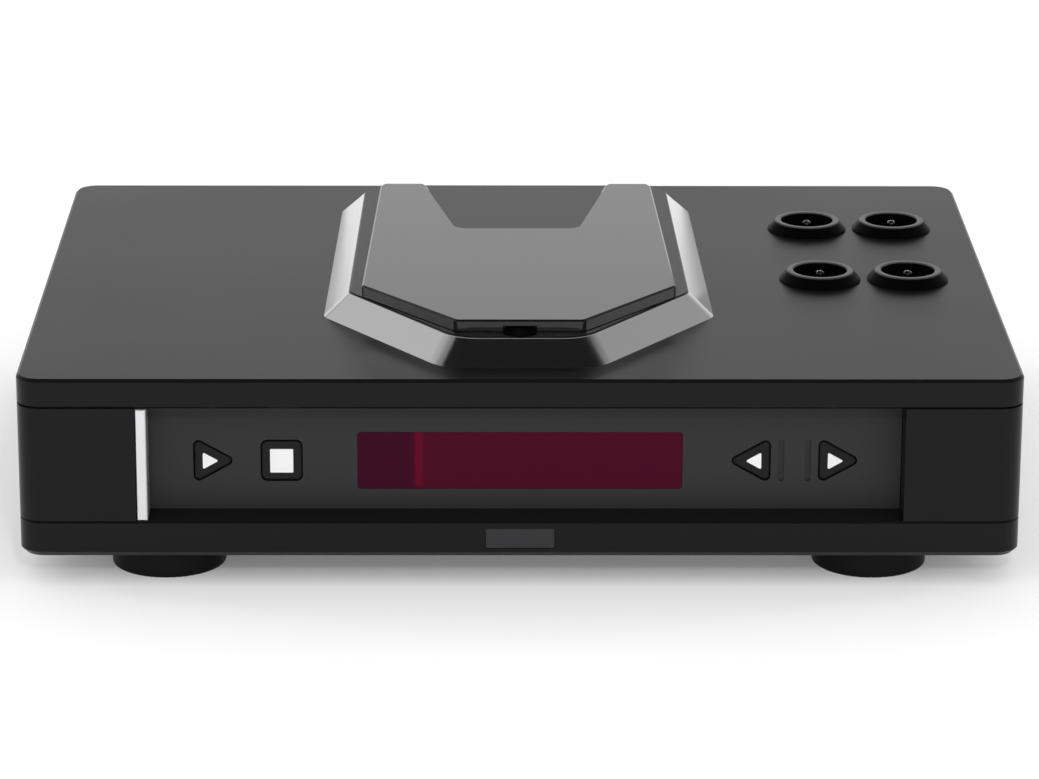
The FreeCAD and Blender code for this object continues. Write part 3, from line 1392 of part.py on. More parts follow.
def make_tube_rings():
    body = new_body("tube_rings")
    shoulder = "cover_top + ring_undercut_height"
    top = "cover_top + ring_height"
    push(body, "XY", "cover_top", shoulder, *tube_spots("ring_radius - ring_undercut"))
    slope = "-atan((ring_radius - ring_top_radius) / (ring_height - ring_undercut_height))"
    push(body, "XY", shoulder, top, *tube_spots("ring_radius"), slope=slope)
    push(body, "XY", "cover_top - spigot_length", "cover_top", *tube_spots("spigot_radius"))
    push(body, "XY", "cover_top - spigot_length", top, *tube_spots("ring_bore"), cut=True)
    ease(body, "ring_round", level_at(top))


def make_tube_glass(index, across, along):
    """One glass envelope: a thin bell with a domed top and a drawn tip, open below."""
    body = new_body(f"tube_glass_{index}")
    low = "tube_seat + button_thick"
    tip = "tube_top - tube_tip_height"
    shoulder = f"{tip} - tube_dome"
    turn(body, ("0", low), ("tube_radius", low), ("tube_radius", shoulder), ("tube_tip_radius", tip),
         ("tube_tip_radius", "tube_top"), ("0", "tube_top"))
    ease(body, "tube_shoulder", level_at(shoulder))
    ease(body, "tube_tip_radius * 0.8", level_at("tube_top"))
    inner = "tube_radius - tube_wall"
    turn(body, ("0", low), (inner, low), (inner, f"{shoulder} - tube_wall / 2"),
         ("tube_tip_radius - tube_wall", f"{tip} - tube_wall"), ("0", f"{tip} - tube_wall"), cut=True)
    ease(body, "tube_shoulder - tube_wall", level_at(f"{shoulder} - tube_wall / 2"))
    set_at(body, across, along)


def pin_spots(radius):
    """Circles for every valve pin, in an open circle of ten places with one left free."""
    spots = []
    for x, y in tube_places():
        for i in range(int(number("tube_pins"))):
            angle = f"({i} * 36 + 18) * 1deg"
            spots.append(disc(f"{x} + pin_circle * sin({angle})", f"{y} - pin_circle * cos({angle})", radius))
    return spots


def make_tube_bases():
    body = new_body("tube_bases")
    push(body, "XY", "tube_seat", "tube_seat + button_thick", *tube_spots("tube_radius"))
    plug = tube_spots("tube_radius - tube_wall - seat_gap")
    push(body, "XY", "tube_seat + button_thick", "tube_seat + button_thick + button_plug", *plug)
    push(body, "XY", "tube_seat - valve_pin_length", "tube_seat", *pin_spots("valve_pin_radius"))


def make_tube_plates():
    """The anode of each valve between two mica spacers, on two rods that stand on the valve's foot."""
    body = new_body("tube_plates")
    foot = "tube_seat + button_thick + button_plug"
    rods = [disc(x + f" {a} anode_width / 2", y, "valve_pin_radius") for x, y in tube_places() for a in "-+"]
    push(body, "XY", foot, "anode_base", *rods)
    push(body, "XY", "anode_base", "anode_base + mica_thick", *tube_spots("mica_radius"))
    boxes = [block(x, "anode_width / 2", y, "anode_depth / 2") for x, y in tube_places()]
    push(body, "XY", "anode_base + mica_thick", "anode_top", *boxes)
    push(body, "XY", "anode_top", "anode_top + mica_thick", *tube_spots("mica_radius - mica_thick"))


def make_tube_sockets():
    body = new_body("tube_sockets")
    push(body, "XY", "tube_board_top", "tube_seat", *tube_spots("socket_radius"))
    holes = pin_spots("valve_pin_radius + socket_hole_gap")
    push(body, "XY", "tube_seat - valve_pin_length - socket_hole_gap", "tube_seat", *holes, cut=True)


def make_tube_board():
    body = new_body("tube_board")
    outline = rect("tube_x - tube_board_half_x", "tube_x + tube_board_half_x",
                   "tube_y - tube_board_half_y", "tube_y + tube_board_half_y")
    push(body, "XY", "tube_board_top - board_thick", "tube_board_top", outline)


# Electronics, supply and rear sockets


def make_main_board():
    body = new_body("main_board")
    outline = rect("main_left", "main_right", "rear_y - main_front", "rear_y - main_rear")
    push(body, "XY", "main_under", "main_top", outline)


def make_filter_capacitors():
    body = new_body("filter_capacitors")
    first_y = "rear_y - capacitor_setback"
    cans = [
        disc(f"capacitor_x + capacitor_pitch * {i}", f"{first_y} + capacitor_pitch * {j}", "capacitor_radius")
        for i in range(2)
        for j in range(3)
    ]
    push(body, "XY", "main_top", "main_top + capacitor_height", *cans)


def make_board_chips():
    body = new_body("board_chips")
    chips = []
    for i in range(2):
        for j in range(3):
            x = f"(chip_x + chip_pitch_x * {i})"
            y = f"(rear_y - chip_setback + chip_pitch_y * {j})"
            chips.append(block(x, "chip_width / 2", y, "chip_length / 2"))
    push(body, "XY", "main_top", "main_top + chip_height", *chips)


def make_mains_transformer():
    body = new_body("mains_transformer")
    turn(body, ("coil_inner", "floor_top"), ("coil_outer", "floor_top"),
         ("coil_outer", "coil_top"), ("coil_inner", "coil_top"))
    ease(body, "coil_round", lambda edge: level_at("floor_top")(edge) or level_at("coil_top")(edge))
    set_at(body, "coil_x", "coil_y")


def make_transformer_clamp():
    body = new_body("transformer_clamp")
    plate = "coil_top + coil_plate_thick"
    push(body, "XY", "floor_top", "coil_top", disc("coil_x", "coil_y", "coil_bolt"))
    push(body, "XY", "coil_top", plate, disc("coil_x", "coil_y", "coil_plate"))
    push(body, "XY", plate, f"{plate} + coil_head_height", disc("coil_x", "coil_y", "coil_bolt_head"))


def inlet_outline(grow):
    """The cavity of the mains inlet, grown by a wall or a gap."""
    half_x = f"(inlet_half_width + {grow})"
    half_z = f"(inlet_half_height + {grow})"
    return block("inlet_x", half_x, "socket_z", half_z)


def blades():
    """The three blades of the inlet."""
    spots = []
    for i in (-1, 0, 1):
        x = f"(inlet_x + blade_pitch * {i})"
        z = f"(socket_z + blade_offset * {1 if i == 0 else -1})"
        spots.append(block(x, "blade_half_width", z, "blade_half_height"))
    return spots


def make_mains_inlet():
    body = new_body("mains_inlet")
    face = "rear_y + inlet_proud"
    back = "panel_front - inlet_depth"
    flange_z = "(inlet_half_height + inlet_wall + inlet_flange_rise)"
    flange = block("inlet_x", "inlet_flange_half", "socket_z", flange_z)
    push(body, "XZ", back, "panel_rear", inlet_outline("inlet_wall"))
    push(body, "XZ", "panel_rear", face, flange)
    push(body, "XZ", f"{face} - inlet_cavity", face, inlet_outline("0"), cut=True)
    push(body, "XZ", f"{face} - inlet_cavity", f"{face} - inlet_cavity + blade_length", *blades())
    push(body, "XZ", f"{back} - tab_length", back, *blades())


def phono_spots():
    """The places of the three phono sockets along the rear."""
    return [f"phono_x + phono_pitch * {i}" for i in range(3)]


def make_phono_sleeves():
    body = new_body("phono_sleeves")
    inner = "panel_front - phono_inside"
    face = "rear_y + phono_reach"
    push(body, "XZ", inner, face, *[disc(x, "socket_z", "phono_radius") for x in phono_spots()])
    flanges = [disc(x, "socket_z", "phono_nut") for x in phono_spots()]
    push(body, "XZ", "panel_rear", "panel_rear + phono_nut_thick", *flanges)
    push(body, "XZ", "panel_front - phono_nut_thick", "panel_front", *flanges)
    push(body, "XZ", inner, face, *[disc(x, "socket_z", "phono_bore") for x in phono_spots()], cut=True)


def make_phono_cores():
    body = new_body("phono_cores")
    inner = "panel_front - phono_inside - phono_nut_thick"
    face = "rear_y + phono_reach - phono_core_sunk"
    push(body, "XZ", inner, face, *[disc(x, "socket_z", "phono_bore - seat_gap") for x in phono_spots()])
    holes = [disc(x, "socket_z", "phono_contact") for x in phono_spots()]
    push(body, "XZ", f"{face} - phono_contact_deep", face, *holes, cut=True)


def balanced_spots():
    """The places of the two balanced sockets along the rear."""
    return [f"balanced_x + balanced_pitch * {i}" for i in range(2)]


def make_balanced_sockets():
    body = new_body("balanced_sockets")
    face = "rear_y + balanced_proud"
    floor = f"{face} - balanced_cavity_deep"
    shells = [disc(x, "socket_z", "balanced_cavity + balanced_wall") for x in balanced_spots()]
    flanges = [block(x, "balanced_flange_x", "socket_z", "balanced_flange_z") for x in balanced_spots()]
    push(body, "XZ", "panel_front - balanced_depth", "panel_rear", *shells)
    push(body, "XZ", "panel_rear", face, *flanges)
    cavities = [disc(x, "socket_z", "balanced_cavity") for x in balanced_spots()]
    push(body, "XZ", floor, face, *cavities, cut=True)
    pins = []
    for x in balanced_spots():
        for i in range(3):
            across = f"{x} + balanced_pin_circle * sin({i} * 120 * 1deg)"
            along = f"socket_z - balanced_pin_circle * cos({i} * 120 * 1deg)"
            pins.append(disc(across, along, "balanced_pin"))
    push(body, "XZ", floor, f"{floor} + balanced_pin_length", *pins)


# Build every piece

make_base_tray()
make_badge_plate()
make_side_block("left_side_block", -1)
make_side_block("right_side_block", 1)
make_rear_panel()
make_top_cover()
make_feet()
make_foot_screws()
make_tie_bolts()
make_fascia_panel()
make_display_window()
for key_name in KEYS:
    make_key(key_name)
    make_symbol(key_name)
make_key_switches()
make_control_board()
make_display_module()
make_power_bar()
make_power_switch()
make_disc_surround()
make_lid_bumpers()
make_lid()
make_hinge_pins()
make_disc_clamp()
make_clamp_retainer()
make_disc_well()
make_spindle_hub()
make_spindle_motor()
make_transport_plate()
make_transport_dampers()
make_laser_sled()
make_laser_lens()
make_guide_rods()
make_rod_clamps()
make_sled_motor()
make_drive_gear()
make_motor_pinion()
make_tube_rings()
for number_of_tube, (tube_across, tube_along) in enumerate(tube_places(), 1):
    make_tube_glass(number_of_tube, tube_across, tube_along)
make_tube_bases()
make_tube_plates()
make_tube_sockets()
make_tube_board()
make_main_board()
make_filter_capacitors()
make_board_chips()
make_mains_transformer()
make_transformer_clamp()
make_mains_inlet()
make_phono_sleeves()
make_phono_cores()
make_balanced_sockets()

# Check every object and shape before anything is written

doc.recompute()
for item in doc.Objects:
    if "Invalid" in item.State or "Error" in item.State:
        raise RuntimeError(f"{item.Label} failed: {item.State}")
pieces = [item for item in doc.Objects if item.TypeId in ("PartDesign::Body", "Part::Feature")]
for piece in pieces:
    if piece.Shape.isNull() or not piece.Shape.isValid() or not piece.Shape.Solids:
        raise RuntimeError(f"{piece.Label} has no valid shape")
for piece in pieces:
    piece.Shape.exportStep(f"parts/{piece.Label}.step")
    print(f"{piece.Label}: {len(piece.Shape.Solids)} solids, {piece.Shape.Volume / 1000:.2f} cm3")
print(f"{len(pieces)} pieces")
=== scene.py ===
# %% [markdown]
# A valve disc player, dressed for a photograph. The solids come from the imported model, in metres,
# with the origin on the table under the middle of the player. This lesson gives each solid the
# finish of the real piece, adds the light of a plain studio and puts the camera where the
# photographer stood.

import math

import bmesh
import bpy
from mathutils import Matrix, Vector


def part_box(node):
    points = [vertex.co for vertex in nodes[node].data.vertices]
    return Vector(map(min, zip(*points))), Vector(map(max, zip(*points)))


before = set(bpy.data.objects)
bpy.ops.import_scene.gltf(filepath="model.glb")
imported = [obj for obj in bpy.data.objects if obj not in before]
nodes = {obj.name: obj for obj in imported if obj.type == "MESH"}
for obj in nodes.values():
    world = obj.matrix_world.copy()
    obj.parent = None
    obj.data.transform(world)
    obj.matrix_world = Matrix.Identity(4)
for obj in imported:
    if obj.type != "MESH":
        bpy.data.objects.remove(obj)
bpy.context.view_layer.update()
MM = 0.001

# %% [markdown]
# The finishes and the room are built from a few small steps in a node tree, so each step is a
# function: arithmetic, the parts of a coordinate, a mask that rises along one of them, and a
# number or a colour that follows a mask. A step takes plain values and other nodes' outputs alike.

# %% Steps in a node tree
# The mix node lists its sockets for colours after those for numbers and vectors.
FIRST_COLOUR, SECOND_COLOUR, MIXED_COLOUR = 6, 7, 2


def feed(tree, source, socket):
    """Links another node's output to a socket, or gives the socket a colour or a number."""
    if isinstance(source, bpy.types.NodeSocket):
        tree.links.new(source, socket)
    elif isinstance(source, tuple):
        socket.default_value = (*source, 1)
    else:
        socket.default_value = source


def add_math(tree, operation, *values, clamp=False):
    """The result of one step of arithmetic."""
    step = tree.nodes.new("ShaderNodeMath")
    step.operation = operation
    step.use_clamp = clamp
    for value, socket in zip(values, step.inputs):
        feed(tree, value, socket)
    return step.outputs[0]


def split_coordinate(tree, kind):
    """The X, Y and Z of a texture coordinate."""
    place = tree.nodes.new("ShaderNodeTexCoord")
    split = tree.nodes.new("ShaderNodeSeparateXYZ")
    tree.links.new(place.outputs[kind], split.inputs["Vector"])
    return split.outputs


def add_band(tree, source, ends, origin=0.0):
    """A mask that goes from 0 at the first end to 1 at the second, both counted from an origin."""
    band = tree.nodes.new("ShaderNodeMapRange")
    band.interpolation_type = "SMOOTHSTEP"
    band.inputs["From Min"].default_value = origin + ends[0]
    band.inputs["From Max"].default_value = origin + ends[1]
    tree.links.new(source, band.inputs["Value"])
    return band.outputs["Result"]


def follow_mask(tree, mask, first, second):
    """A number that goes from the first value to the second as the mask goes from 0 to 1."""
    follower = tree.nodes.new("ShaderNodeMapRange")
    follower.inputs["To Min"].default_value = first
    follower.inputs["To Max"].default_value = second
    tree.links.new(mask, follower.inputs["Value"])
    return follower.outputs["Result"]


def mix_colours(tree, mask, first, second, blend="MIX"):
    """The first colour where the mask is 0, and its blend with the second where it is 1."""
    mix = tree.nodes.new("ShaderNodeMix")
    mix.data_type = "RGBA"
    mix.blend_type = blend
    feed(tree, mask, mix.inputs["Factor"])
    feed(tree, first, mix.inputs[FIRST_COLOUR])
    feed(tree, second, mix.inputs[SECOND_COLOUR])
    return mix.outputs[MIXED_COLOUR]


steps = (add_math, split_coordinate, add_band, follow_mask, mix_colours)
print("steps:", ", ".join(step.__name__ for step in steps))

# %% [markdown]
# Most of the player is black, and black only shows through what it mirrors and how finely its
# surface is broken up. A perfectly even black looks like a hole in the picture. One node group,
# used by all the pieces' finishes, makes the small variation: a fine noise for the height of a
# bump, and a broad one that shifts the roughness a little.

# %% A group for fine surface variation
GRAIN_INPUTS = (("Fine", 900.0), ("Broad", 9.0), ("Roughness", 0.4), ("Variation", 0.05))
NOISE_DETAIL = (("Fine", 2), ("Broad", 3))
NOISE_MIDDLE = 0.5


def make_grain_group():
    """Fine grain as a height, and slow changes of polish as a roughness."""
    tree = bpy.data.node_groups.new("surface_grain", "ShaderNodeTree")
    for name, value in GRAIN_INPUTS:
        socket = tree.interface.new_socket(name, in_out="INPUT", socket_type="NodeSocketFloat")
        socket.default_value = value
    for name in ("Height", "Roughness"):
        tree.interface.new_socket(name, in_out="OUTPUT", socket_type="NodeSocketFloat")
    entry = tree.nodes.new("NodeGroupInput")
    leave = tree.nodes.new("NodeGroupOutput")
    place = tree.nodes.new("ShaderNodeTexCoord")
    noises = {}
    for name, detail in NOISE_DETAIL:
        noise = tree.nodes.new("ShaderNodeTexNoise")
        noise.inputs["Detail"].default_value = detail
        tree.links.new(place.outputs["Object"], noise.inputs["Vector"])
        tree.links.new(entry.outputs[name], noise.inputs["Scale"])
        noises[name] = noise.outputs["Fac"]
    swing = add_math(tree, "SUBTRACT", noises["Broad"], NOISE_MIDDLE)
    varied = add_math(
        tree, "MULTIPLY_ADD", swing, entry.outputs["Variation"], entry.outputs["Roughness"]
    )
    tree.links.new(noises["Fine"], leave.inputs["Height"])
    tree.links.new(varied, leave.inputs["Roughness"])
    return tree


grain_group = make_grain_group()
print("made", grain_group.name)

# %% [markdown]
# Every finish is the same small recipe: a Principled shader, the grain group on its roughness, and
# a bump whose strength says how coarse the surface feels. What differs between paint, moulded
# plastic and metal is a handful of values, so one function makes them all and most of the finishes
# below are only named values.

# %% A function for plain finishes
BUMP_HEIGHT = 0.1 * MM


def make_finish(
    name,
    colour,
    roughness,
    metallic=0.0,
    specular=0.5,
    bump=0.0,
    fine=900.0,
    variation=0.05,
    **sockets,
):
    """A material from its colour, polish and grain.

    Further sockets are set by their names, with _ for a space.
    """
    material = bpy.data.materials.new(name)
    material.use_nodes = True
    tree = material.node_tree
    shader = tree.nodes["Principled BSDF"]
    shader.inputs["Base Color"].default_value = (*colour, 1)
    shader.inputs["Metallic"].default_value = metallic
    shader.inputs["Specular IOR Level"].default_value = specular
    for word, value in sockets.items():
        shader.inputs[word.replace("_", " ")].default_value = value
    grain = tree.nodes.new("ShaderNodeGroup")
    grain.node_tree = grain_group
    grain.inputs["Fine"].default_value = fine
    grain.inputs["Roughness"].default_value = roughness
    grain.inputs["Variation"].default_value = variation
    tree.links.new(grain.outputs["Roughness"], shader.inputs["Roughness"])
    if bump:
        relief = tree.nodes.new("ShaderNodeBump")
        relief.inputs["Strength"].default_value = bump
        relief.inputs["Distance"].default_value = BUMP_HEIGHT
        tree.links.new(grain.outputs["Height"], relief.inputs["Height"])
        tree.links.new(relief.outputs["Normal"], shader.inputs["Normal"])
    return material


def dress(material, *names):
    """Gives CAD nodes one material."""
    for name in names:
        mesh = nodes[name].data
        mesh.materials.clear()
        mesh.materials.append(material)
    print(f"{material.name}: {', '.join(names)}")


# %% [markdown]
# The casing is thick metal with a satin black coat. Its top mirrors the pale room at a flat angle,
# so it reads as a soft grey that gets lighter towards the rear, while its front stays nearly
# black. That is a rough, dark dielectric: no grey pigment is needed.

# %% Casing
COAT_BLACK = (0.005, 0.005, 0.0055)
COAT_ROUGHNESS = 0.32
COAT_GRAIN = 1400.0

dress(
    make_finish(
        "casing_black", COAT_BLACK, COAT_ROUGHNESS, specular=0.14, bump=0.12, fine=COAT_GRAIN
    ),
    "base_tray",
    "left_side_block",
    "right_side_block",
    "top_cover",
    "rear_panel",
)
dress(
    make_finish("fascia_black", (0.024, 0.024, 0.025), 0.5, specular=0.22, bump=0.2, fine=1500.0),
    "fascia_panel",
)
dress(make_finish("badge_grey", (0.02, 0.02, 0.022), 0.4, metallic=0.4), "badge_plate")
dress(make_finish("foot_black", (0.003, 0.003, 0.003), 0.4, specular=0.12, bump=0.1), "feet")

# %% [markdown]
# The surround has a satin deck like the casing, but its sloping facets are finely brushed bare
# metal: they mirror the room softly. Both are one solid. Only the facets lean, neither level like
# the deck nor upright like the well's wall, so a mask on the slope of the surface picks them, and a
# second one on height leaves out the deck's rounded edge.

# %% Surround with bright facets
BARE_METAL = (0.8, 0.8, 0.81)
BARE_ROUGHNESS = 0.15
FACETS_OVER_COVER = 10.2 * MM
FACETS_END = (0.0, -0.4 * MM)
# The slope is the Z part of the surface's normal: 0 on an upright face and 1 on a level one.
OFF_UPRIGHT = (0.15, 0.3)
OFF_LEVEL = (0.94, 0.89)


def make_surround_finish():
    """Satin black on the deck, bare metal on the facets below it."""
    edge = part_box("top_cover")[1].z + FACETS_OVER_COVER
    material = make_finish(
        "surround_satin", COAT_BLACK, COAT_ROUGHNESS, specular=0.16, bump=0.1, fine=COAT_GRAIN
    )
    tree = material.node_tree
    shader = tree.nodes["Principled BSDF"]
    height = split_coordinate(tree, "Object")["Z"]
    slope = split_coordinate(tree, "Normal")["Z"]
    under_edge = add_band(tree, height, FACETS_END, edge)
    not_upright = add_band(tree, slope, OFF_UPRIGHT)
    not_level = add_band(tree, slope, OFF_LEVEL)
    leaning = add_math(tree, "MULTIPLY", not_upright, not_level)
    facets = add_math(tree, "MULTIPLY", under_edge, leaning)
    colour = mix_colours(tree, facets, COAT_BLACK, BARE_METAL)
    roughness = follow_mask(tree, facets, COAT_ROUGHNESS, BARE_ROUGHNESS)
    tree.links.new(facets, shader.inputs["Metallic"])
    tree.links.new(colour, shader.inputs["Base Color"])
    tree.links.new(roughness, shader.inputs["Roughness"])
    print(f"facets up to {edge:.4f} m")
    return material


dress(make_surround_finish(), "disc_surround")

# %% [markdown]
# The lid is gloss black. A glossy black sheet is a dark mirror, so its roughness is low and its
# colour nearly nothing. The keys are gloss black too, with white marks let into them. The power
# bar beside them is satin silver.

# %% Lid, keys and power bar
dress(make_finish("lid_black", (0.006, 0.006, 0.0065), 0.07, variation=0.02, specular=0.43), "lid")
dress(
    make_finish("key_black", (0.006, 0.006, 0.006), 0.1, specular=0.16, variation=0.02),
    "play_key",
    "stop_key",
    "previous_key",
    "next_key",
)
dress(
    make_finish("symbol_white", (0.88, 0.88, 0.88), 0.5, specular=0.3),
    "play_symbol",
    "stop_symbol",
    "previous_symbol",
    "next_symbol",
)
dress(make_finish("bar_silver", (0.69, 0.69, 0.7), 0.34, metallic=0.9, bump=0.06), "power_bar")

# %% [markdown]
# The window is a deep red filter in front of a dark display. The display's inside shows faintly
# through it in the room's light, a little less at its left end, and one brighter column stands out
# at the border of the two. That light is painted, as emission of the filter, by masks on the X
# and Z coordinates.

# %% Display window
COLUMN_FROM_LEFT = 28.6 * MM
# The ends of the masks, across from the column's middle and up from the window's lower edge.
COLUMN_LEFT_EDGE = (-2.8 * MM, -1.2 * MM)
COLUMN_RIGHT_EDGE = (2.4 * MM, 0.9 * MM)
COLUMN_LOWER_END = (2 * MM, 5 * MM)
BORDER = (-5 * MM, 2 * MM)
# These emission colours are painted light, for the display's inside seen in the room's light.
PAINTED_DIM_GLOW = (0.018, 0.0002, 0.0078)
PAINTED_FULL_GLOW = (0.036, 0.0002, 0.0075)
PAINTED_COLUMN_GLOW = (0.085, 0.0004, 0.008)


def make_window_finish():
    """A dark red filter, with painted emission for the display's inside and one brighter column."""
    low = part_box("display_window")[0]
    material = make_finish(
        "window_red", (0.025, 0.001, 0.006), 0.1, specular=0.05, variation=0.02
    )
    tree = material.node_tree
    shader = tree.nodes["Principled BSDF"]
    place = split_coordinate(tree, "Object")
    column_x = low.x + COLUMN_FROM_LEFT
    left_of = add_band(tree, place["X"], COLUMN_LEFT_EDGE, column_x)
    right_of = add_band(tree, place["X"], COLUMN_RIGHT_EDGE, column_x)
    above = add_band(tree, place["Z"], COLUMN_LOWER_END, low.z)
    across = add_math(tree, "MULTIPLY", left_of, right_of)
    column = add_math(tree, "MULTIPLY", above, across)
    display = add_band(tree, place["X"], BORDER, column_x)
    # Painted emission: dimmer at the display's left end, with a painted brighter column on top.
    painted_display_glow = mix_colours(tree, display, PAINTED_DIM_GLOW, PAINTED_FULL_GLOW)
    painted_bright = mix_colours(tree, column, painted_display_glow, PAINTED_COLUMN_GLOW)
    tree.links.new(painted_bright, shader.inputs["Emission Color"])
    shader.inputs["Emission Strength"].default_value = 1
    print(f"lit column at x = {column_x:.4f} m")
    return material


dress(make_window_finish(), "display_window")

# %% [markdown]
# The rings round the valves are turned metal, satin black on the flare and on the wall of the
# bore. Their level top edge mirrors the pale room; its paler grey is painted sheen for that light,
# and its higher specular reflects the room for real. A mask on height tells that edge from the
# flare.

# %% Rings
RING_BLACK = (0.0015, 0.0015, 0.0016)
# The rim's grey is painted sheen, for the pale room that the level top mirrors.
PAINTED_RIM_SHEEN = (0.05, 0.05, 0.051)
RIM_START = (-0.7 * MM, -0.2 * MM)
FLARE_SPECULAR = 0.03
RIM_SPECULAR = 0.24


def make_ring_finish():
    """Satin black, with a painted paler sheen on the top rim."""
    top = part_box("tube_rings")[1].z
    material = make_finish("ring_black", RING_BLACK, 0.3)
    tree = material.node_tree
    shader = tree.nodes["Principled BSDF"]
    rim = add_band(tree, split_coordinate(tree, "Object")["Z"], RIM_START, top)
    # The top rim gets the painted sheen grey.
    colour = mix_colours(tree, rim, RING_BLACK, PAINTED_RIM_SHEEN)
    specular = follow_mask(tree, rim, FLARE_SPECULAR, RIM_SPECULAR)
    tree.links.new(colour, shader.inputs["Base Color"])
    tree.links.new(specular, shader.inputs["Specular IOR Level"])
    return material


dress(make_ring_finish(), "tube_rings")

# %% [markdown]
# Clear glass has no colour of its own. The valve's envelope is thin, so it is a transmitting
# shader with the index of glass. Inside stands a grey anode with its discs, and below it a pressed
# glass foot in a ceramic socket.

# %% Valves
dress(
    make_finish(
        "valve_glass", (0.96, 0.98, 0.97), 0.02, variation=0.01, Transmission_Weight=1.0, IOR=1.45
    ),
    *[f"tube_glass_{i}" for i in range(1, 5)],
)
dress(make_finish("anode_grey", (0.1, 0.1, 0.105), 0.5, metallic=0.6), "tube_plates")
dress(make_finish("pressed_glass", (0.35, 0.36, 0.34), 0.15), "tube_bases")
dress(make_finish("ceramic_white", (0.7, 0.67, 0.6), 0.3), "tube_sockets")

# %% [markdown]
# The disc drive shows once the lid is open: a dark moulded well, a turned hub, the sled with its
# lens, and rods, gears and motors below. Each gets the plain finish of its material. The hinge
# pins, the screws and the bolts are the same steel as the rods.

# %% Disc drive
dress(
    make_finish("well_black", (0.02, 0.02, 0.022), 0.45, bump=0.3, fine=1200.0),
    "disc_well",
    "disc_clamp",
    "clamp_retainer",
)
dress(make_finish("hub_metal", (0.6, 0.6, 0.61), 0.3, metallic=1.0), "spindle_hub")
dress(
    make_finish("bright_steel", (0.55, 0.55, 0.56), 0.28, metallic=1.0),
    "spindle_motor",
    "sled_motor",
    "guide_rods",
    "hinge_pins",
    "foot_screws",
    "tie_bolts",
    "transformer_clamp",
)
dress(make_finish("plate_metal", (0.6, 0.6, 0.62), 0.4, metallic=0.9), "transport_plate")
dress(
    make_finish("sled_grey", (0.04, 0.04, 0.045), 0.45, bump=0.2),
    "laser_sled",
    "rod_clamps",
    "key_switches",
    "power_switch",
    "display_module",
)
dress(
    make_finish("lens_blue", (0.35, 0.45, 0.8), 0.03, specular=0.8, Transmission_Weight=0.6),
    "laser_lens",
)
dress(make_finish("gear_cream", (0.75, 0.74, 0.7), 0.4), "drive_gear")
dress(make_finish("pinion_brass", (0.7, 0.52, 0.22), 0.3, metallic=1.0), "motor_pinion")
dress(
    make_finish("soft_rubber", (0.02, 0.02, 0.02), 0.75, specular=0.3),
    "lid_bumpers",
    "transport_dampers",
)

# %% [markdown]
# Inside and at the rear are the boards, the supply and the sockets: green boards, black chips,
# sleeved capacitors, a taped ring of windings, black moulded sockets, and gold on the signal
# contacts.

# %% Electronics and sockets
dress(
    make_finish("board_green", (0.02, 0.12, 0.05), 0.35),
    "control_board",
    "tube_board",
    "main_board",
)
dress(make_finish("chip_black", (0.015, 0.015, 0.015), 0.5), "board_chips")
dress(make_finish("can_blue", (0.012, 0.03, 0.09), 0.3), "filter_capacitors")
dress(make_finish("tape_amber", (0.42, 0.27, 0.05), 0.4), "mains_transformer")
dress(
    make_finish("socket_black", (0.02, 0.02, 0.02), 0.4, bump=0.2),
    "mains_inlet",
    "balanced_sockets",
)
dress(make_finish("contact_gold", (0.85, 0.6, 0.24), 0.2, metallic=1.0), "phono_sleeves")
dress(make_finish("core_white", (0.7, 0.7, 0.7), 0.4), "phono_cores")

# %% [markdown]
# The studio is a white floor in a room that is white low down and dark overhead. What the player
# mirrors matters as much as what lights it: its level faces mirror the wall behind it, the side
# facets the horizon, and the front facet the dark ceiling. So the world is a ramp over height for
# the rays that see it, the camera's, the glossy ones and those through glass, and a plainer grey
# for the light that it sheds. Low down, the room is a little darker at its left and right, which
# keeps the edges between the facets soft.

# %% World
# Pairs of a height and a grey. The height is the Z part of a ray's direction, and a grey may be
# over 1.
SEEN_ROOM = (
    (0.0, 0.9),
    (0.1, 0.96),
    (0.2, 1.2),
    (0.3, 1.08),
    (0.38, 0.82),
    (0.55, 0.34),
    (0.7, 0.2),
    (0.79, 0.02),
    (0.86, 0.002),
    (1.0, 0.0),
)
SHED_LIGHT = ((0.0, 0.92), (1.0, 0.83))
RAMP_SCALE = 3
# The shade at the sides, and where it comes in across the room and over height.
SIDE_SHADE = 0.55
SIDEWAYS = (0.3, 0.48)
LOW_DOWN = (0.58, 0.42)


def add_seen_rays(tree):
    """1 for rays that show a backdrop: from the camera, off gloss and through glass."""
    path = tree.nodes.new("ShaderNodeLightPath")
    total = path.outputs["Is Camera Ray"]
    for name in ("Is Glossy Ray", "Is Transmission Ray"):
        total = add_math(tree, "ADD", total, path.outputs[name], clamp=True)
    return total


def add_ramp(tree, source, greys):
    """Greys over height. The ramp holds them scaled down, because its colours end at 1."""
    ramp = tree.nodes.new("ShaderNodeValToRGB")
    while len(ramp.color_ramp.elements) < len(greys):
        ramp.color_ramp.elements.new(0.5)
    for element, (position, grey) in zip(ramp.color_ramp.elements, greys):
        element.position = position
        element.color = (*[grey / RAMP_SCALE] * 3, 1)
    tree.links.new(source, ramp.inputs["Fac"])
    return mix_colours(tree, 1, ramp.outputs["Color"], (RAMP_SCALE,) * 3, "MULTIPLY")


def add_side_shade(tree, direction):
    """Less than 1 low down towards the left and right of the room, 1 elsewhere."""
    across = add_math(tree, "ABSOLUTE", direction["X"])
    sideways = add_band(tree, across, SIDEWAYS)
    low_down = add_band(tree, direction["Z"], LOW_DOWN)
    return follow_mask(tree, add_math(tree, "MULTIPLY", sideways, low_down), 1, SIDE_SHADE)


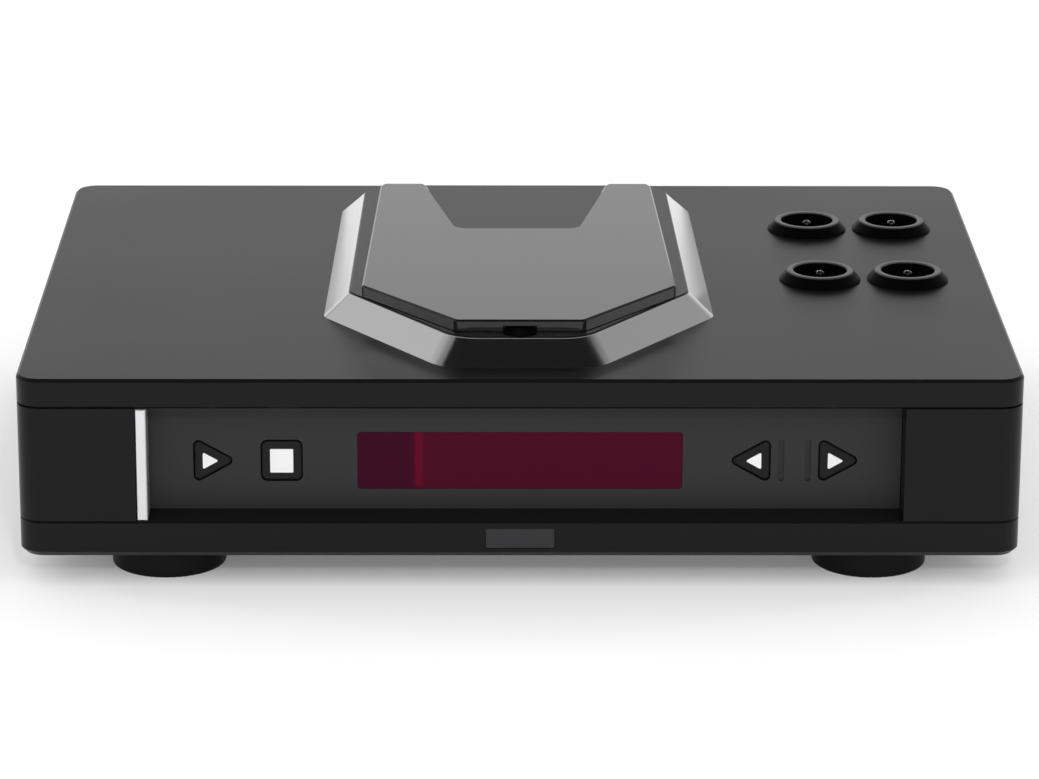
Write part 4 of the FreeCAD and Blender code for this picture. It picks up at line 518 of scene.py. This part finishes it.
def make_world():
    """A room that is white at eye level and dark overhead, and an even soft light from it."""
    world = bpy.data.worlds.new("studio")
    bpy.context.scene.world = world
    world.use_nodes = True
    tree = world.node_tree
    background = tree.nodes["Background"]
    direction = split_coordinate(tree, "Generated")
    shed = add_ramp(tree, direction["Z"], SHED_LIGHT)
    room = add_ramp(tree, direction["Z"], SEEN_ROOM)
    seen = mix_colours(tree, 1, room, add_side_shade(tree, direction), "MULTIPLY")
    choice = mix_colours(tree, add_seen_rays(tree), shed, seen)
    tree.links.new(choice, background.inputs["Color"])
    background.inputs["Strength"].default_value = 1.0
    return world


print("world", make_world().name)

# %% [markdown]
# The floor is a pale sheet that keeps the player's soft shadow. For rays that see it a little
# white is added, so that it runs into the background without an edge.

# %% Floor
FLOOR_REACH = 6
FLOOR_GREY = (0.85, 0.85, 0.85)
FLOOR_LIFT = 0.15


def make_floor_finish():
    """A matt pale grey, with a little white added for rays that see it."""
    material = bpy.data.materials.new("floor_white")
    material.use_nodes = True
    tree = material.node_tree
    shader = tree.nodes["Principled BSDF"]
    shader.inputs["Base Color"].default_value = (*FLOOR_GREY, 1)
    shader.inputs["Roughness"].default_value = 0.9
    shader.inputs["Specular IOR Level"].default_value = 0
    lift = tree.nodes.new("ShaderNodeEmission")
    lift.inputs["Strength"].default_value = FLOOR_LIFT
    both = tree.nodes.new("ShaderNodeAddShader")
    mix = tree.nodes.new("ShaderNodeMixShader")
    output = tree.nodes["Material Output"]
    tree.links.new(shader.outputs[0], both.inputs[0])
    tree.links.new(lift.outputs[0], both.inputs[1])
    tree.links.new(add_seen_rays(tree), mix.inputs["Fac"])
    tree.links.new(shader.outputs[0], mix.inputs[1])
    tree.links.new(both.outputs[0], mix.inputs[2])
    tree.links.new(mix.outputs[0], output.inputs["Surface"])
    return material


def make_floor():
    """A wide pale sheet under the player."""
    mesh = bpy.data.meshes.new("floor")
    shape = bmesh.new()
    bmesh.ops.create_grid(shape, x_segments=1, y_segments=1, size=FLOOR_REACH)
    shape.to_mesh(mesh)
    shape.free()
    mesh.materials.append(make_floor_finish())
    floor = bpy.data.objects.new("floor", mesh)
    bpy.context.scene.collection.objects.link(floor)
    return floor


print("floor", make_floor().name)

# %% [markdown]
# A wide soft box in front lights the marks and the fascia, and two smaller ones stand at the front
# corners. They are where no facet mirrors them, so they only show as soft glints on rounded edges.
# A dim sheet stands behind on the left, where the surround's left front facet mirrors it, because
# that facet is paler than the right one. Three lamps are small: one at each side draws a fine line
# of light on the slanting edges of the lid, and one in front gives the sharp points of light on
# the tips of the valves.

# %% Lamps
# Each lamp's name, its place and the point that it is turned to, its width in metres and its power
# in watts.
LAMPS = (
    ("front_box", (0.2, -3.0, 1.5), (0, 0, 0), 2.0, 11),
    ("left_corner_box", (-2.2, -1.5, 1.5), (0, 0, 0), 1.2, 6),
    ("right_corner_box", (2.2, -1.5, 1.5), (0, 0, 0), 1.2, 6),
    ("left_sheet", (-1.8, 0.8, 1.7), (0, 0, 0), 1.8, 2.2),
    ("left_edge_lamp", (-2.0, 0.45, 0.65), (0, 0, 0.1), 0.25, 5),
    ("right_edge_lamp", (2.0, 0.45, 0.65), (0, 0, 0.1), 0.25, 5),
    ("glint_lamp", (0.15, -2.0, 1.2), (0.1, 0, 0.08), 0.1, 7),
)


def add_soft_box(name, place, aim, size, power):
    """A square area lamp at a place, turned towards a point."""
    lamp = bpy.data.lights.new(name, "AREA")
    lamp.shape = "SQUARE"
    lamp.size = size
    lamp.energy = power
    thing = bpy.data.objects.new(name, lamp)
    thing.location = place
    thing.rotation_euler = (Vector(aim) - Vector(place)).to_track_quat("-Z", "Y").to_euler()
    bpy.context.scene.collection.objects.link(thing)
    print(f"{name}: {size} m, {power} W")


for lamp_values in LAMPS:
    add_soft_box(*lamp_values)

# %% [markdown]
# The camera stands about 1.8 m in front of the player, a little left of its middle, and looks down
# at it through a long lens. The place, the turns and the focal length were fitted to places
# measured on the photograph.

# %% Camera
# Distances are in metres, from the top cover's front edge, the middle and the base's lower face.
CAMERA_BACK = 1.7959
CAMERA_SIDE = -0.01959
CAMERA_OVER_BASE = 0.650
# Turns are in degrees.
TILT_DOWN = 17.722
TURN_RIGHT = 0.608
ROLL = 0.2137
# Lens and sensor are in millimetres.
FOCAL = 152.84
SENSOR_WIDTH = 36
CLIP_END = 30

camera = bpy.data.objects.new("camera", bpy.data.cameras.new("camera"))
camera.data.lens = FOCAL
camera.data.sensor_width = SENSOR_WIDTH
camera.data.clip_end = CLIP_END
front_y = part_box("top_cover")[0].y
base_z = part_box("base_tray")[0].z
place = Matrix.Translation((CAMERA_SIDE, front_y - CAMERA_BACK, base_z + CAMERA_OVER_BASE))
turn = Matrix.Rotation(math.radians(-TURN_RIGHT), 4, "Z")
tilt = Matrix.Rotation(math.radians(90 - TILT_DOWN), 4, "X")
roll = Matrix.Rotation(math.radians(ROLL), 4, "Z")
camera.matrix_world = place @ turn @ tilt @ roll
bpy.context.scene.collection.objects.link(camera)
bpy.context.scene.camera = camera
bpy.context.scene.view_settings.view_transform = "Standard"
print("camera at", [round(v, 4) for v in camera.location])
